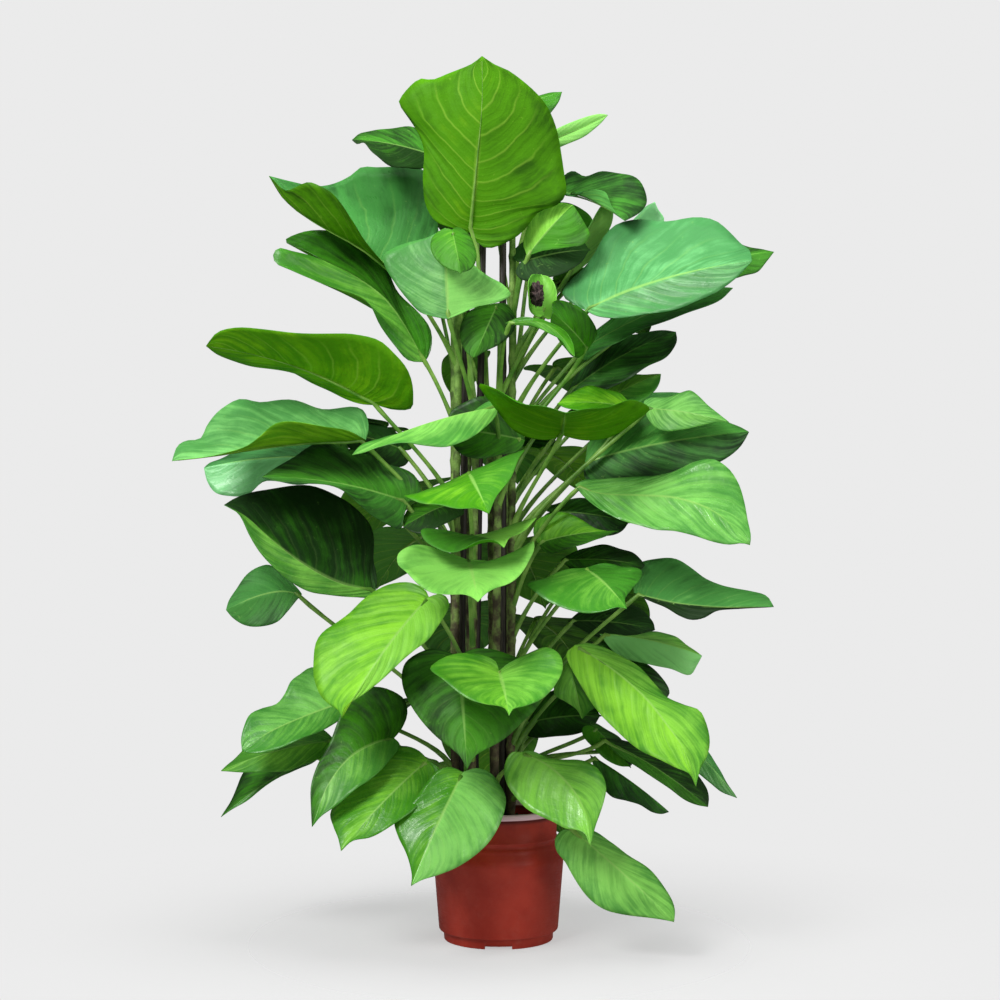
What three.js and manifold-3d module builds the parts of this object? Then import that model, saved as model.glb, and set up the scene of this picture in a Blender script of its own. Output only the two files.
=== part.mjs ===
// A potted golden pothos: eight leafy vines climb round three straight canes in a plastic nursery pot.
// Millimetres, +Z up. The origin is the centre of the pot's foot, and -Y is the front of the plant.

import * as THREE from 'three';
import { mergeVertices } from 'three/addons/utils/BufferGeometryUtils.js';
import Module from 'manifold-3d';

// Driving sizes of the pot
const POT_HEIGHT = 178;
const RIM_RADIUS = 84;
const COLLAR_RADIUS = 80;
const BODY_RADIUS = 90;
const BODY_FOOT_RADIUS = 82;
const FOOT_RADIUS = 75;
const FOOT_HEIGHT = 13;
const SHOULDER_LOW = 111;
const SHOULDER_HIGH = 127;
const WALL = 2.5;
const FLOOR_UNDERSIDE = 5;
const FLOOR_TOP = 8;
const FOOT_RING = 9;
const HUB_RADIUS = 16;
const POT_SIDES = 30;

// Notches in the foot ring and drain holes in the floor
const NOTCHES = 3;
const NOTCH_WIDTH = 36;
const NOTCH_HEIGHT = 4;
const DRAIN_RADIUS = 6;
const DRAIN_RING = 46;

// Soil, canes and stems
const SOIL_EDGE = 160;
const SOIL_MIDDLE = 167;
const FIT = 0.3;
const CANE_RADIUS = 5.5;
const CANE_FOOT = 20;
const STEM_RADIUS = 6.5;
const STEM_TIP_RADIUS = 4.5;
const STEM_FOOT = 60;
const STEM_STEP = 110;
const HOLE_ROOM = 0.8;

// The vines stand in a ring round the canes and turn a little as they climb
const BUNDLE = new THREE.Vector3(-22, 0, 0);
const RING_RADIUS = 42;
const FIRST_VINE = 22.5;
const TURN_PER_METRE = 17.5;
const VINE_TOPS = [760, 700, 700, 950, 940, 720, 740, 1010];

// Petioles and blades
const PETIOLE_RADIUS = 4;
const PETIOLE_TIP_RADIUS = 2.6;
const PETIOLE_STEPS = 4;
const BLADE_THICKNESS = 1;
const BLADE_ROWS = 6;
const SMALL_BLADE = 115;
const SMALL_BLADE_ROWS = 5;
const BLADE_COLUMNS = 2;
const BELLY = 0.36;
const VEIN_START = 1.5;
const VEIN_LAG = 0.12;
const BULGE = 0.15;
const SLIVER = 0.2;

// Half a heart-shaped blade's outline, from the notch where the petiole joins, round the lobe, to the
// drawn-out tip: share of the half width, share of the length
const HEART = [
  [0.1, -0.055], [0.34, -0.105], [0.62, -0.075], [0.84, 0.02], [0.96, 0.16], [1, 0.31],
  [0.96, 0.45], [0.84, 0.6], [0.64, 0.74], [0.4, 0.85], [0.17, 0.92], [0.05, 0.955],
];
const HEART_BELLY = 0.31;

// The front view that the leaves are placed in: 1000 x 1000 units, centred on 500, 500
const VIEW = { centre: 500, lens: 1527.8, distance: 2139, height: 478, side: 2, tilt: 3.37 };

const wasm = await Module();
wasm.setup();

const UP = new THREE.Vector3(0, 0, 1);
const radians = THREE.MathUtils.degToRad;

// Points and directions

function sum(...terms) {
  const total = new THREE.Vector3();
  for (const [vector, share] of terms) total.addScaledVector(vector, share);
  return total;
}

function unit(vector) {
  return vector.clone().normalize();
}

// The point seen at a column and row of the front view, a given distance in front of the pot's axis
function seen([column, row, forward]) {
  const across = (column - VIEW.centre) / VIEW.lens;
  const rise = (VIEW.centre - row) / VIEW.lens;
  const cos = Math.cos(radians(VIEW.tilt));
  const sin = Math.sin(radians(VIEW.tilt));
  const reach = (VIEW.distance - forward) / (cos - rise * sin);
  return new THREE.Vector3(VIEW.side + across * reach, -forward, VIEW.height + (sin + rise * cos) * reach);
}

// Solids

function toManifold(geometry) {
  const bare = geometry.clone();
  bare.deleteAttribute('normal');
  bare.deleteAttribute('uv');
  const merged = mergeVertices(bare, 1e-4);
  return new wasm.Manifold(new wasm.Mesh({
    numProp: 3,
    vertProperties: new Float32Array(merged.attributes.position.array),
    triVerts: new Uint32Array(merged.index.array),
  }));
}

function toGeometry(solid) {
  const mesh = solid.getMesh();
  const geometry = new THREE.BufferGeometry();
  geometry.setAttribute('position', new THREE.BufferAttribute(mesh.vertProperties, 3));
  geometry.setIndex(new THREE.BufferAttribute(mesh.triVerts, 1));
  return geometry;
}

function lathe(profile, sides) {
  const geometry = new THREE.LatheGeometry(profile.map(([r, z]) => new THREE.Vector2(r, z)), sides);
  geometry.rotateX(Math.PI / 2);
  return geometry;
}

// A round bar from one point to another
function bar(foot, top, radius, topRadius, sides) {
  const length = foot.distanceTo(top);
  const geometry = new THREE.CylinderGeometry(topRadius, radius, length, sides);
  const along = unit(top.clone().sub(foot));
  const turn = new THREE.Quaternion().setFromUnitVectors(new THREE.Vector3(0, 1, 0), along);
  geometry.applyQuaternion(turn);
  const middle = foot.clone().lerp(top, 0.5);
  geometry.translate(middle.x, middle.y, middle.z);
  return geometry;
}

// A closed solid from indexed rings of points
function closedGeometry(points, triangles) {
  const geometry = new THREE.BufferGeometry();
  const numbers = points.flatMap((p) => [p.x, p.y, p.z]);
  geometry.setAttribute('position', new THREE.Float32BufferAttribute(numbers, 3));
  geometry.setIndex(triangles);
  return geometry;
}

// A tube that narrows along a path and is closed at both ends
function tube(path, radius, tipRadius, sides) {
  const points = [];
  const triangles = [];
  const last = path.length - 1;
  let across = new THREE.Vector3(0.3, 1, 0.1);
  path.forEach((centre, step) => {
    const ahead = path[Math.min(step + 1, last)];
    const behind = path[Math.max(step - 1, 0)];
    const along = unit(ahead.clone().sub(behind));
    across = unit(sum([across, 1], [along, -across.dot(along)]));
    const over = along.clone().cross(across);
    const r = radius + ((tipRadius - radius) * step) / last;
    for (let k = 0; k < sides; k += 1) {
      const angle = (2 * Math.PI * k) / sides;
      points.push(sum([centre, 1], [across, r * Math.cos(angle)], [over, r * Math.sin(angle)]));
    }
  });
  for (let step = 0; step < last; step += 1) {
    for (let k = 0; k < sides; k += 1) {
      const a = step * sides + k;
      const b = step * sides + ((k + 1) % sides);
      triangles.push(a, b, b + sides, a, b + sides, a + sides);
    }
  }
  for (let k = 1; k < sides - 1; k += 1) {
    triangles.push(0, k + 1, k, last * sides, last * sides + k, last * sides + k + 1);
  }
  return closedGeometry(points, triangles);
}

// Blades

// A blade hangs on its midrib and on the outline of each half, given by its own points from the base to
// the tip, or by its widest place alone for the usual heart. Bow bends the midrib, lift rolls the margins
// up, wave ripples them, and belly says how far along a heart is widest. Keel gives a midrib that isn't an
// arc its own points. The upper side faces up, unless the blade has turned over.
function blade({
  base, tip, edges, keel, bow = 25, lift = [0.15, 0.15], belly = [BELLY, BELLY], wave = 0.04, turned = false,
}) {
  const chord = tip.clone().sub(base);
  const along = unit(chord);
  const outward = unit(new THREE.Vector3(base.x, base.y, 0));
  const middles = edges.map((edge) => sum(...edge.map((point) => [point, 1 / edge.length])));
  const upper = unit(unit(middles[1].clone().sub(middles[0])).cross(along));
  const halves = edges.map((edge, k) => ({ edge, lift: lift[k], belly: belly[k] }));
  if (upper.dot(sum([UP, 1], [outward, 0.35])) < 0 !== turned) {
    upper.negate();
    halves.reverse();
  }
  const side = along.clone().cross(upper);
  const arc = radians(bow);
  const radius = chord.length() / (2 * Math.sin(arc / 2));
  const path = keel && new THREE.CatmullRomCurve3([base, ...keel, tip]);

  // The midrib's point, direction and upper side at a share of its length
  function rib(share) {
    if (path) {
      const place = THREE.MathUtils.clamp(share, 0, 1);
      const forward = path.getTangentAt(place);
      const point = sum([path.getPointAt(place), 1], [forward, Math.min(share, 0) * path.getLength()]);
      return { point, forward, above: unit(sum([upper, 1], [forward, -upper.dot(forward)])) };
    }
    const angle = arc / 2 - arc * THREE.MathUtils.clamp(share, 0, 1);
    const before = Math.min(share, 0) * radius * arc;
    const on = radius * (Math.sin(arc / 2) - Math.sin(angle)) + before * Math.cos(arc / 2);
    const off = radius * (Math.cos(angle) - Math.cos(arc / 2)) + before * Math.sin(arc / 2);
    return {
      point: sum([base, 1], [along, on], [upper, off]),
      forward: sum([along, Math.cos(angle)], [upper, Math.sin(angle)]),
      above: sum([along, -Math.sin(angle)], [upper, Math.cos(angle)]),
    };
  }

  // The heart outline stretched to the widest place of a half
  function heart(widest, belly) {
    const middle = rib(belly);
    const reach = widest.clone().sub(middle.point);
    const [ahead, height, aside] = [middle.forward, middle.above, side].map((way) => reach.dot(way));
    return HEART.map(([out, along]) => {
      const share = along > 0 ? along ** (Math.log(belly) / Math.log(HEART_BELLY)) : along;
      const { point, forward, above } = rib(share);
      const sweep = ahead * out * THREE.MathUtils.clamp(share / belly, 0, 1);
      return sum([point, 1], [forward, sweep], [above, height * out], [side, aside * out]);
    });
  }

  for (const half of halves) {
    const points = half.edge.length > 1 ? half.edge : heart(half.edge[0], half.belly);
    half.outline = new THREE.CatmullRomCurve3([base, ...points, tip]);
  }

  // A point of one half: how far out from the midrib, and how far along the outline from base to tip
  function pointAt(k, out, share) {
    const half = halves[k];
    const { point, forward, above } = rib(share ** VEIN_START);
    const across = half.outline.getPointAt(share).sub(point);
    const reach = across.length();
    const facing = k === 0 ? forward.clone().cross(across) : across.clone().cross(forward);
    const rise = unit(sum([facing, 1], [above, BULGE * reach + 0.001]));
    const roll = half.lift * (out * out - out);
    const ripple = wave * out * out * Math.sin(3 * Math.PI * (share - BELLY));
    const lag = VEIN_LAG * (out * out - out);
    return sum([point, 1], [across, out], [rise, reach * (roll + ripple)], [forward, reach * lag]);
  }

  const rows = chord.length() < SMALL_BLADE ? SMALL_BLADE_ROWS : BLADE_ROWS;
  return { rib, pointAt, rows };
}

// The blade as a thin closed sheet, split into triangles alike on both faces
function bladeGeometry(form) {
  const { rows } = form;
  const width = 2 * BLADE_COLUMNS + 1;
  const grid = [];
  for (let row = 0; row <= rows; row += 1) {
    const line = [];
    for (let column = -BLADE_COLUMNS; column <= BLADE_COLUMNS; column += 1) {
      line.push(form.pointAt(column < 0 ? 0 : 1, Math.abs(column) / BLADE_COLUMNS, row / rows));
    }
    grid.push(line);
  }

  const points = [];
  const numbers = [];
  for (const face of [0.5, -0.5]) {
    for (let row = 0; row <= rows; row += 1) {
      const end = row === 0 || row === rows;
      for (let column = 0; column < width; column += 1) {
        if (end && column > 0) {
          numbers.push(points.length - 1);
          continue;
        }
        const [right, left] = [Math.min(column + 1, width - 1), Math.max(column - 1, 0)];
        const [ahead, behind] = [Math.min(row + 1, rows), Math.max(row - 1, 0)];
        const across = sum([grid[row][right], 1], [grid[row][left], -1]);
        const down = sum([grid[ahead][column], 1], [grid[behind][column], -1]);
        const above = end ? form.rib(row / rows).above : unit(across.cross(down));
        points.push(sum([grid[row][column], 1], [above, face * BLADE_THICKNESS]));
        numbers.push(points.length - 1);
      }
    }
  }

  const triangles = [];
  const number = (face, row, column) => numbers[(face * (rows + 1) + row) * width + column];
  function add(a, b, c) {
    if (a !== b && b !== c && c !== a) triangles.push(a, b, c);
  }
  for (let row = 0; row < rows; row += 1) {
    for (let column = 0; column < width - 1; column += 1) {
      for (const face of [0, 1]) {
        const p = number(face, row, column);
        const q = number(face, row, column + 1);
        const r = number(face, row + 1, column + 1);
        const s = number(face, row + 1, column);
        const pair = column < BLADE_COLUMNS ? [[p, q, s], [q, r, s]] : [[p, q, r], [p, r, s]];
        for (const [a, b, c] of pair) {
          if (face === 0) add(a, b, c);
          else add(a, c, b);
        }
      }
    }
    const left = [number(0, row, 0), number(0, row + 1, 0), number(1, row, 0), number(1, row + 1, 0)];
    add(left[0], left[1], left[3]);
    add(left[0], left[3], left[2]);
    const right = [0, 1].flatMap((face) => [number(face, row, width - 1), number(face, row + 1, width - 1)]);
    add(right[0], right[3], right[1]);
    add(right[0], right[2], right[3]);
  }
  return closedGeometry(points, triangles);
}

// The points of an outline that give no distance forward take one evenly from their neighbours
function fillForward(points) {
  const way = [0];
  points.slice(1).forEach(([column, row], k) => {
    way.push(way[k] + Math.hypot(column - points[k][0], row - points[k][1]));
  });
  return points.map(([column, row, forward], k) => {
    if (forward !== undefined) return [column, row, forward];
    const before = points.findLastIndex((point, n) => n < k && point.length === 3);
    const after = points.findIndex((point, n) => n > k && point.length === 3);
    const share = (way[k] - way[before]) / (way[after] - way[before]);
    return [column, row, THREE.MathUtils.lerp(points[before][2], points[after][2], share)];
  });
}

// A leaf placed by what the front view shows
function front({ base, tip, edges, keel, ...rest }) {
  const outlines = edges.map((edge) => {
    const points = Array.isArray(edge[0]) ? edge : [edge];
    return fillForward([base, ...points, tip]).slice(1, -1).map(seen);
  });
  return { base: seen(base), tip: seen(tip), edges: outlines, keel: keel?.map(seen), ...rest };
}

// A leaf on the far side: its bearing round the bundle, the height and reach of its base, and its own size
function rear({ bearing, height, reach, length, width, pitch, lean }) {
  const outward = new THREE.Vector3(Math.cos(radians(bearing)), Math.sin(radians(bearing)), 0);
  const across = new THREE.Vector3(outward.y, -outward.x, 0);
  const along = sum([outward, Math.cos(radians(pitch))], [UP, -Math.sin(radians(pitch))]);
  const above = across.clone().cross(along);
  const base = sum([BUNDLE, 1], [outward, reach], [UP, height]);
  const widest = sum([base, 1], [along, length * BELLY], [above, length * 0.08 + 8]);
  const edge = sum([across, Math.cos(radians(lean))], [above, Math.sin(radians(lean))]);
  return {
    base,
    tip: sum([base, 1], [along, length]),
    edges: [[sum([widest, 1], [edge, -width / 2])], [sum([widest, 1], [edge, width / 2])]],
    bow: 38,
  };
}

// The leaves that the front shows, from the crown down: base, tip and each half's outline or widest place
const FRONT_LEAVES = {
  crown: { base: [470, 233, 40], tip: [482, 56, 100],
    keel: [[473, 200, 62], [478, 150, 84], [482, 105, 98]],
    edges: [
      [[460, 230, 44], [437, 222], [426, 205], [423, 180, 60], [423, 146], [402, 110], [398, 103, 72],
       [407, 90], [421, 79, 80], [432, 80], [448, 74], [472, 64, 97]],
      [[478, 243, 42], [487, 248, 44], [500, 245], [521, 233], [540, 211], [557, 205, 50], [566, 194, 52],
       [565, 175], [557, 130, 66], [542, 100], [510, 72, 90], [495, 65]],
    ] },
  crown_back: { base: [480, 130, -60], tip: [562, 92, -70],
    edges: [
      [[500, 118, -90], [520, 104, -105], [538, 95, -105], [552, 92, -90]],
      [[510, 135, -50], [535, 128, -45], [551, 112, -55], [559, 101, -62]],
    ] },
  furled: { base: [515, 152, -20], tip: [608, 115, 10], lift: [0.5, 0.5], wave: 0,
    edges: [
      [[540, 138, -20], [561, 127, -12], [580, 119, -5], [600, 114, 5]],
      [[540, 153, -15], [563, 146, -2], [577, 140, 2], [588, 134, 5], [599, 125, 8]],
    ] },
  upleft_small: { base: [440, 158, -40], tip: [352, 140, 10],
    edges: [
      [[430, 135, -60], [412, 128, -60], [385, 130, -40], [362, 132, -10]],
      [[425, 167, -10], [405, 169, 15], [388, 166, 30], [375, 155, 35], [364, 142, 20], [357, 144, 12]],
    ] },
  upleft_big: { base: [412, 288, 40], tip: [269, 176, 90],
    keel: [[383, 264, 58], [360, 247, 70], [330, 231, 84], [300, 213, 90], [283, 198, 92]],
    edges: [
      [[440, 262, -10], [442, 235, -40], [432, 195, -65], [420, 174, -70], [400, 169, -60],
       [375, 169, -50], [361, 169, -40], [350, 177, -20], [335, 182, 10], [312, 184, 50], [290, 181, 75]],
      [[385, 264, 50], [372, 248, 80], [360, 235, 100], [350, 220, 115], [342, 206, 125], [332, 194, 130],
       [320, 187, 130], [308, 182, 125], [295, 187, 115], [286, 190, 105]],
    ] },
  split: { base: [425, 362, 30], tip: [322, 260, 75],
    keel: [[405, 325, 40], [385, 298, 52], [355, 276, 65]],
    edges: [
      [[431, 350, 24], [431, 330, 20], [418, 310], [398, 290], [387, 272, 14], [374, 249], [355, 237, 18],
       [327, 232], [303, 231, 40], [287, 237, 60], [302, 247, 65]],
      [[408, 360, 45], [395, 345, 60], [382, 325, 75], [372, 307, 90], [362, 299, 95], [340, 291],
       [312, 280], [290, 271, 110], [276, 263], [274, 254, 112], [280, 245, 112], [297, 250, 95]],
    ] },
  pale_left: { base: [448, 319, 120], tip: [445, 228, 100], bow: 20,
    edges: [
      [[436, 317, 118], [420, 312], [408, 300], [395, 283, 105], [386, 268], [384, 257, 95], [391, 250],
       [404, 243], [428, 237, 97]],
      [[462, 313, 118], [478, 306], [495, 303], [506, 299, 105], [511, 295, 103], [503, 285], [488, 277],
       [472, 262, 100], [460, 240]],
    ] },
  small_left: { base: [452, 230, 120], tip: [461, 274, 150], edges: [[431, 250, 130], [476, 252, 130]] },
  crinkled: { base: [527, 256, 30], tip: [573, 205, 40],
    edges: [
      [[523, 243, 28], [527, 228], [533, 214], [545, 207, 32], [560, 203]],
      [[545, 250, 45], [565, 248, 60], [583, 245], [590, 236, 65], [584, 222], [578, 212, 50]],
    ] },
  shade_mid: { base: [521, 262, 25], tip: [591, 250, 25], edges: [[553, 231, 0], [550, 278, 50]] },
  roof_right: { base: [560, 192, -60], tip: [625, 221, 30], bow: 30,
    edges: [
      [[563, 176, -60], [572, 170, -60], [585, 176, -55], [602, 171, -50], [622, 175, -40],
       [640, 183, -25], [647, 198, -10], [642, 210, 10]],
      [[575, 196, -30], [590, 190, -20], [604, 191, -5], [612, 206, 15], [618, 215, 25]],
    ] },
  upright_right: { base: [568, 278, -20], tip: [607, 200, -20],
    edges: [
      [[574, 258, -15], [582, 240, -15], [592, 221, -15], [600, 207, -18]],
      [[588, 262, -40], [600, 245, -45], [612, 222, -35], [612, 207, -25]],
    ] },
  peak_right: { base: [612, 252, -60], tip: [655, 202, -50],
    edges: [
      [[622, 235, -65], [635, 219, -65], [645, 207, -58]],
      [[640, 248, -40], [655, 235, -38], [664, 219, -40], [658, 209, -45]],
    ] },
  pale_right: { base: [585, 310, 60], tip: [752, 261, 150],
    edges: [
      [[572, 303, 45], [562, 295, 38], [567, 282, 28], [580, 268, 18], [593, 252, 8], [605, 236, 0],
       [618, 226, -5], [640, 221, -10], [670, 224, -8], [697, 222, 0], [715, 223, 10], [729, 230, 35],
       [741, 241, 70], [750, 251, 120]],
      [[598, 316, 85], [625, 317, 108], [650, 314, 122], [680, 309, 135], [700, 300, 142],
       [720, 289, 148], [738, 276, 152]],
    ] },
  tip_right: { base: [700, 268, -40], tip: [774, 252, -30],
    edges: [
      [[712, 250, -55], [730, 243, -60], [745, 246, -55], [762, 249, -45]],
      [[715, 278, -20], [730, 279, -12], [743, 277, -10], [757, 272, -15], [767, 261, -25]],
    ] },
  under_right: { base: [578, 352, -10], tip: [733, 288, 40],
    edges: [
      [[590, 335, -40], [620, 310, -55], [660, 292, -50], [700, 285, -20]],
      [[585, 360, 10], [600, 350, 25], [630, 336, 45], [655, 326, 55], [680, 316, 58], [705, 306, 55],
       [722, 298, 50]],
    ] },
  dark_mid: { base: [588, 350, 40], tip: [552, 312, 130],
    edges: [
      [[597, 335, 50], [592, 320, 70], [578, 307, 90], [560, 300, 115], [553, 303, 128]],
      [[578, 358, 60], [566, 350, 90], [556, 335, 115], [551, 322, 128]],
    ] },
  ribbon: { base: [505, 323, 90], tip: [575, 357, 180], keel: [[540, 322, 117], [562, 337, 148]],
    edges: [
      [[520, 317, 100], [540, 319, 115], [556, 325, 135], [567, 333, 155], [573, 345, 170]],
      [[515, 325, 95], [535, 327, 110], [550, 334, 130], [562, 341, 150], [568, 351, 165]],
    ] },
  hang_mid: { base: [498, 303, 75], tip: [474, 358, 95],
    edges: [
      [[480, 306, 78], [467, 313, 82], [460, 330, 87], [462, 345, 90], [467, 353, 93]],
      [[507, 304, 74], [516, 318, 76], [513, 332, 80], [500, 344, 86], [486, 351, 91]],
    ] },
  bud: { base: [544, 315, 60], tip: [541, 274, 50], edges: [[527, 290, 110], [557, 295, 70]],
    lift: [0.6, 0.6] },
  arm_left: { base: [378, 405, 40], tip: [206, 346, 90], bow: 30,
    edges: [
      [[392, 409, 45], [412, 407, 60], [414, 395, 80], [412, 380, 95], [406, 366, 108], [396, 354, 115],
       [380, 341, 120], [355, 337, 122], [330, 336, 122], [300, 333, 120], [265, 329, 115],
       [235, 327, 108], [217, 332, 100]],
      [[362, 404, 35], [345, 398, 25], [322, 387, 15], [290, 374, 10], [262, 368, 20], [238, 362, 40],
       [218, 354, 65]],
    ] },
  left_wave: { base: [366, 440, 60], tip: [172, 461, 120],
    keel: [[330, 441, 88], [300, 443, 98], [262, 448, 108], [215, 456, 116]],
    edges: [
      [[369, 425, 42], [364, 410, 25], [355, 406, 18], [325, 407, 10], [297, 402, 0], [262, 406, 10],
       [240, 400, 20], [222, 409, 35], [207, 425, 60], [200, 437, 75], [186, 439, 90], [177, 446, 108]],
      [[350, 431, 100], [330, 426, 130], [300, 423, 145], [275, 426, 150], [260, 437, 150],
       [245, 447, 142], [220, 454, 132]],
    ] },
  left_under: { base: [335, 458, -20], tip: [204, 468, 0],
    edges: [
      [[320, 440, -50], [290, 435, -75], [262, 442, -70], [240, 450, -55], [220, 458, -25],
       [209, 463, -8]],
      [[325, 478, 0], [300, 484, 15], [275, 482, 20], [263, 483, 20], [247, 495, 20], [230, 496, 18],
       [215, 492, 12], [207, 481, 5]],
    ] },
  left_rim: { base: [408, 502, 60], tip: [262, 477, 130],
    edges: [
      [[420, 499, 58], [421, 487, 50], [414, 473, 40], [403, 467, 35], [388, 464, 28], [368, 456, 20],
       [345, 449, 15], [318, 446, 25], [295, 455, 60], [275, 468, 105]],
      [[404, 516, 75], [402, 528, 85], [388, 524, 95], [372, 516, 108], [357, 503, 125], [343, 492, 135],
       [325, 485, 140], [300, 482, 140], [278, 481, 135]],
    ] },
  left_dark: { base: [376, 590, 40], tip: [224, 505, 110],
    keel: [[340, 583, 60], [305, 565, 78], [272, 540, 95], [245, 516, 105]],
    edges: [
      [[377, 578, 30], [374, 558, 10], [375, 541, 0], [372, 527, -10], [362, 515, -15], [347, 502, -20],
       [330, 494], [310, 489, -10], [287, 487, 10], [262, 489, 40], [245, 494, 70], [233, 499, 95]],
      [[372, 597, 45], [355, 597, 55], [330, 595], [310, 592, 80], [292, 583], [275, 570, 105],
       [262, 555], [250, 535, 118], [238, 513, 115]],
    ] },
  sliver: { base: [498, 406, 90], tip: [352, 455, 140], bow: 20,
    edges: [
      [[490, 401, 80], [480, 406, 75], [466, 416, 75], [450, 423, 80], [435, 430, 85], [420, 432, 92],
       [400, 434, 102], [380, 438, 115], [362, 444, 130]],
      [[496, 416, 105], [487, 425, 120], [475, 434, 132], [463, 442, 140], [448, 448, 145],
       [425, 446, 148], [400, 443, 148], [380, 446, 146], [362, 453, 143]],
    ] },
  bridge: { base: [562, 435, 70], tip: [566, 413, 200], bow: 35,
    edges: [
      [[545, 440, 72], [520, 432, 78], [500, 415, 92], [487, 400, 108], [478, 386, 122], [495, 392, 142],
       [520, 401, 168], [545, 406, 188]],
      [[585, 440, 72], [612, 434, 80], [635, 423, 98], [650, 410, 118], [635, 403, 138], [610, 405, 165],
       [588, 408, 188]],
    ] },
  shade_left: { base: [525, 440, 58], tip: [446, 428, 66], vine: 6,
    edges: [
      [[515, 415, 54], [498, 401, 57], [480, 397, 62], [463, 403, 64], [451, 411, 65]],
      [[520, 450, 64], [500, 455, 75], [475, 459, 80], [460, 453, 78], [450, 441, 72]],
    ] },
  mid_fold: { base: [468, 472, 120], tip: [489, 514, 240],
    edges: [
      [[450, 480, 122], [432, 487, 135], [417, 492, 155], [405, 499, 180], [418, 504, 200],
       [436, 504, 215], [455, 508, 228], [476, 508, 237]],
      [[482, 466, 118], [497, 459, 122], [511, 453, 130], [524, 449, 142], [521, 458, 155],
       [512, 476, 180], [502, 489, 205], [495, 498, 225]],
    ] },
  mid_fold_under: { base: [450, 504, 40], tip: [403, 528, 80], edges: [[418, 502, 40], [440, 527, 90]] },
  mid_gutter: { base: [470, 536, 110], tip: [504, 548, 210],
    edges: [
      [[458, 533, 112], [443, 528, 120], [430, 527, 130], [421, 531, 145], [424, 540, 160],
       [435, 549, 175], [447, 554, 185], [458, 551, 192], [468, 545, 198], [480, 540, 203],
       [494, 540, 207]],
      [[482, 534, 108], [497, 529, 115], [515, 524, 125], [530, 520, 138], [537, 520, 148],
       [530, 527, 162], [518, 533, 180], [509, 538, 198]],
    ] },
  front_heart: { base: [468, 560, 120], tip: [478, 602, 255], lift: [0.3, 0.3],
    edges: [
      [[458, 556, 122], [447, 551, 128], [435, 546, 136], [420, 544, 146], [407, 547, 156],
       [398, 554, 165], [398, 566, 175], [408, 577, 192], [420, 586, 208], [434, 592, 222],
       [450, 594, 233], [464, 594, 243], [472, 597, 250]],
      [[482, 560, 120], [497, 560, 124], [510, 555, 130], [522, 548, 140], [533, 541, 152],
       [534, 552, 165], [528, 566, 182], [520, 575, 198], [508, 583, 213], [495, 588, 228],
       [485, 594, 243]],
    ] },
  bridge_back: { base: [632, 408, 30], tip: [557, 404, 50],
    edges: [
      [[622, 394, 20], [605, 389, 15], [590, 387, 15], [575, 391, 20], [564, 398, 35]],
      [[622, 411, 60], [600, 412, 72], [580, 410, 70], [567, 408, 60]],
    ] },
  dark_right: { base: [568, 392, -20], tip: [676, 332, -40],
    edges: [
      [[575, 375, -45], [588, 357, -60], [605, 343, -65], [625, 336, -65], [650, 331, -55],
       [665, 330, -48]],
      [[582, 398, -5], [605, 390, 10], [627, 380, 20], [645, 370, 20], [660, 361, 10], [672, 350, -10],
       [677, 340, -28]],
    ] },
  dart_right: { base: [590, 410, -30], tip: [661, 374, -20],
    edges: [
      [[585, 398, -40], [590, 386, -48], [605, 379, -52], [625, 375, -50], [645, 374, -35]],
      [[605, 414, -15], [625, 411, -5], [642, 402, 0], [655, 390, -8], [660, 381, -15]],
    ] },
  fold_right: { base: [645, 408, 40], tip: [729, 422, 100],
    edges: [
      [[644, 401, 35], [652, 397, 35], [668, 397, 42], [680, 393, 50], [690, 391, 57], [698, 396, 65],
       [708, 405, 78], [719, 414, 90]],
      [[647, 417, 50], [655, 427, 62], [665, 431, 70], [682, 430, 78], [700, 426, 86], [717, 422, 94]],
    ] },
  fold_back: { base: [610, 420, -55], tip: [705, 402, -45], edges: [[650, 394, -75], [660, 412, -45]] },
  rib_right: { base: [585, 462, 0], tip: [749, 432, 70], bow: 20,
    edges: [
      [[590, 440, -12], [615, 420, -18], [650, 410, -15], [690, 408, -10], [718, 416, 10],
       [737, 425, 42]],
      [[585, 478, 20], [600, 484, 30], [632, 482, 50], [665, 478, 60], [692, 470, 65], [714, 464, 68],
       [729, 456, 70], [740, 447, 70], [746, 438, 70]],
    ] },
  long_right: { base: [575, 485, 50], tip: [750, 545, 150],
    keel: [[600, 493, 70], [640, 495, 88], [677, 498, 106], [715, 512, 127]],
    edges: [
      [[583, 480, 45], [605, 478, 48], [640, 476, 55], [672, 472, 65], [697, 464, 76], [714, 461, 85],
       [728, 468, 95], [738, 482, 103], [744, 500, 114], [748, 520, 130], [751, 536, 143]],
      [[580, 492, 62], [588, 500, 75], [600, 509, 88], [617, 518, 102], [636, 525, 117], [655, 531, 130],
       [675, 531, 138], [693, 535, 143], [712, 541, 148], [730, 544, 151], [742, 543, 151]],
    ] },
  shade_right: { base: [550, 512, 0], tip: [631, 523, 20], edges: [[590, 500, -40], [590, 535, 20]] },
  mid_back: { base: [538, 543, 30], tip: [620, 531, 70],
    edges: [
      [[533, 532, 25], [538, 519, 22], [552, 513, 20], [568, 514, 25], [582, 520, 38], [595, 528, 55],
       [608, 531, 64]],
      [[545, 552, 50], [563, 551, 75], [582, 545, 88], [600, 538, 85], [612, 533, 76]],
    ] },
  right_pair: { base: [585, 568, 90], tip: [627, 609, 200],
    edges: [
      [[568, 569, 98], [550, 574, 118], [535, 580, 138], [527, 587, 152], [535, 594, 163],
       [550, 603, 175], [567, 610, 184], [585, 612, 191], [605, 610, 196], [618, 607, 199]],
      [[603, 563, 92], [622, 565, 100], [641, 572, 122], [640, 580, 142], [631, 590, 165],
       [625, 599, 185]],
    ] },
  right_shade: { base: [560, 560, 0], tip: [645, 566, 0],
    edges: [
      [[575, 551, -15], [595, 546, -35], [615, 548, -40], [632, 552, -25], [640, 558, -10]],
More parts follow.
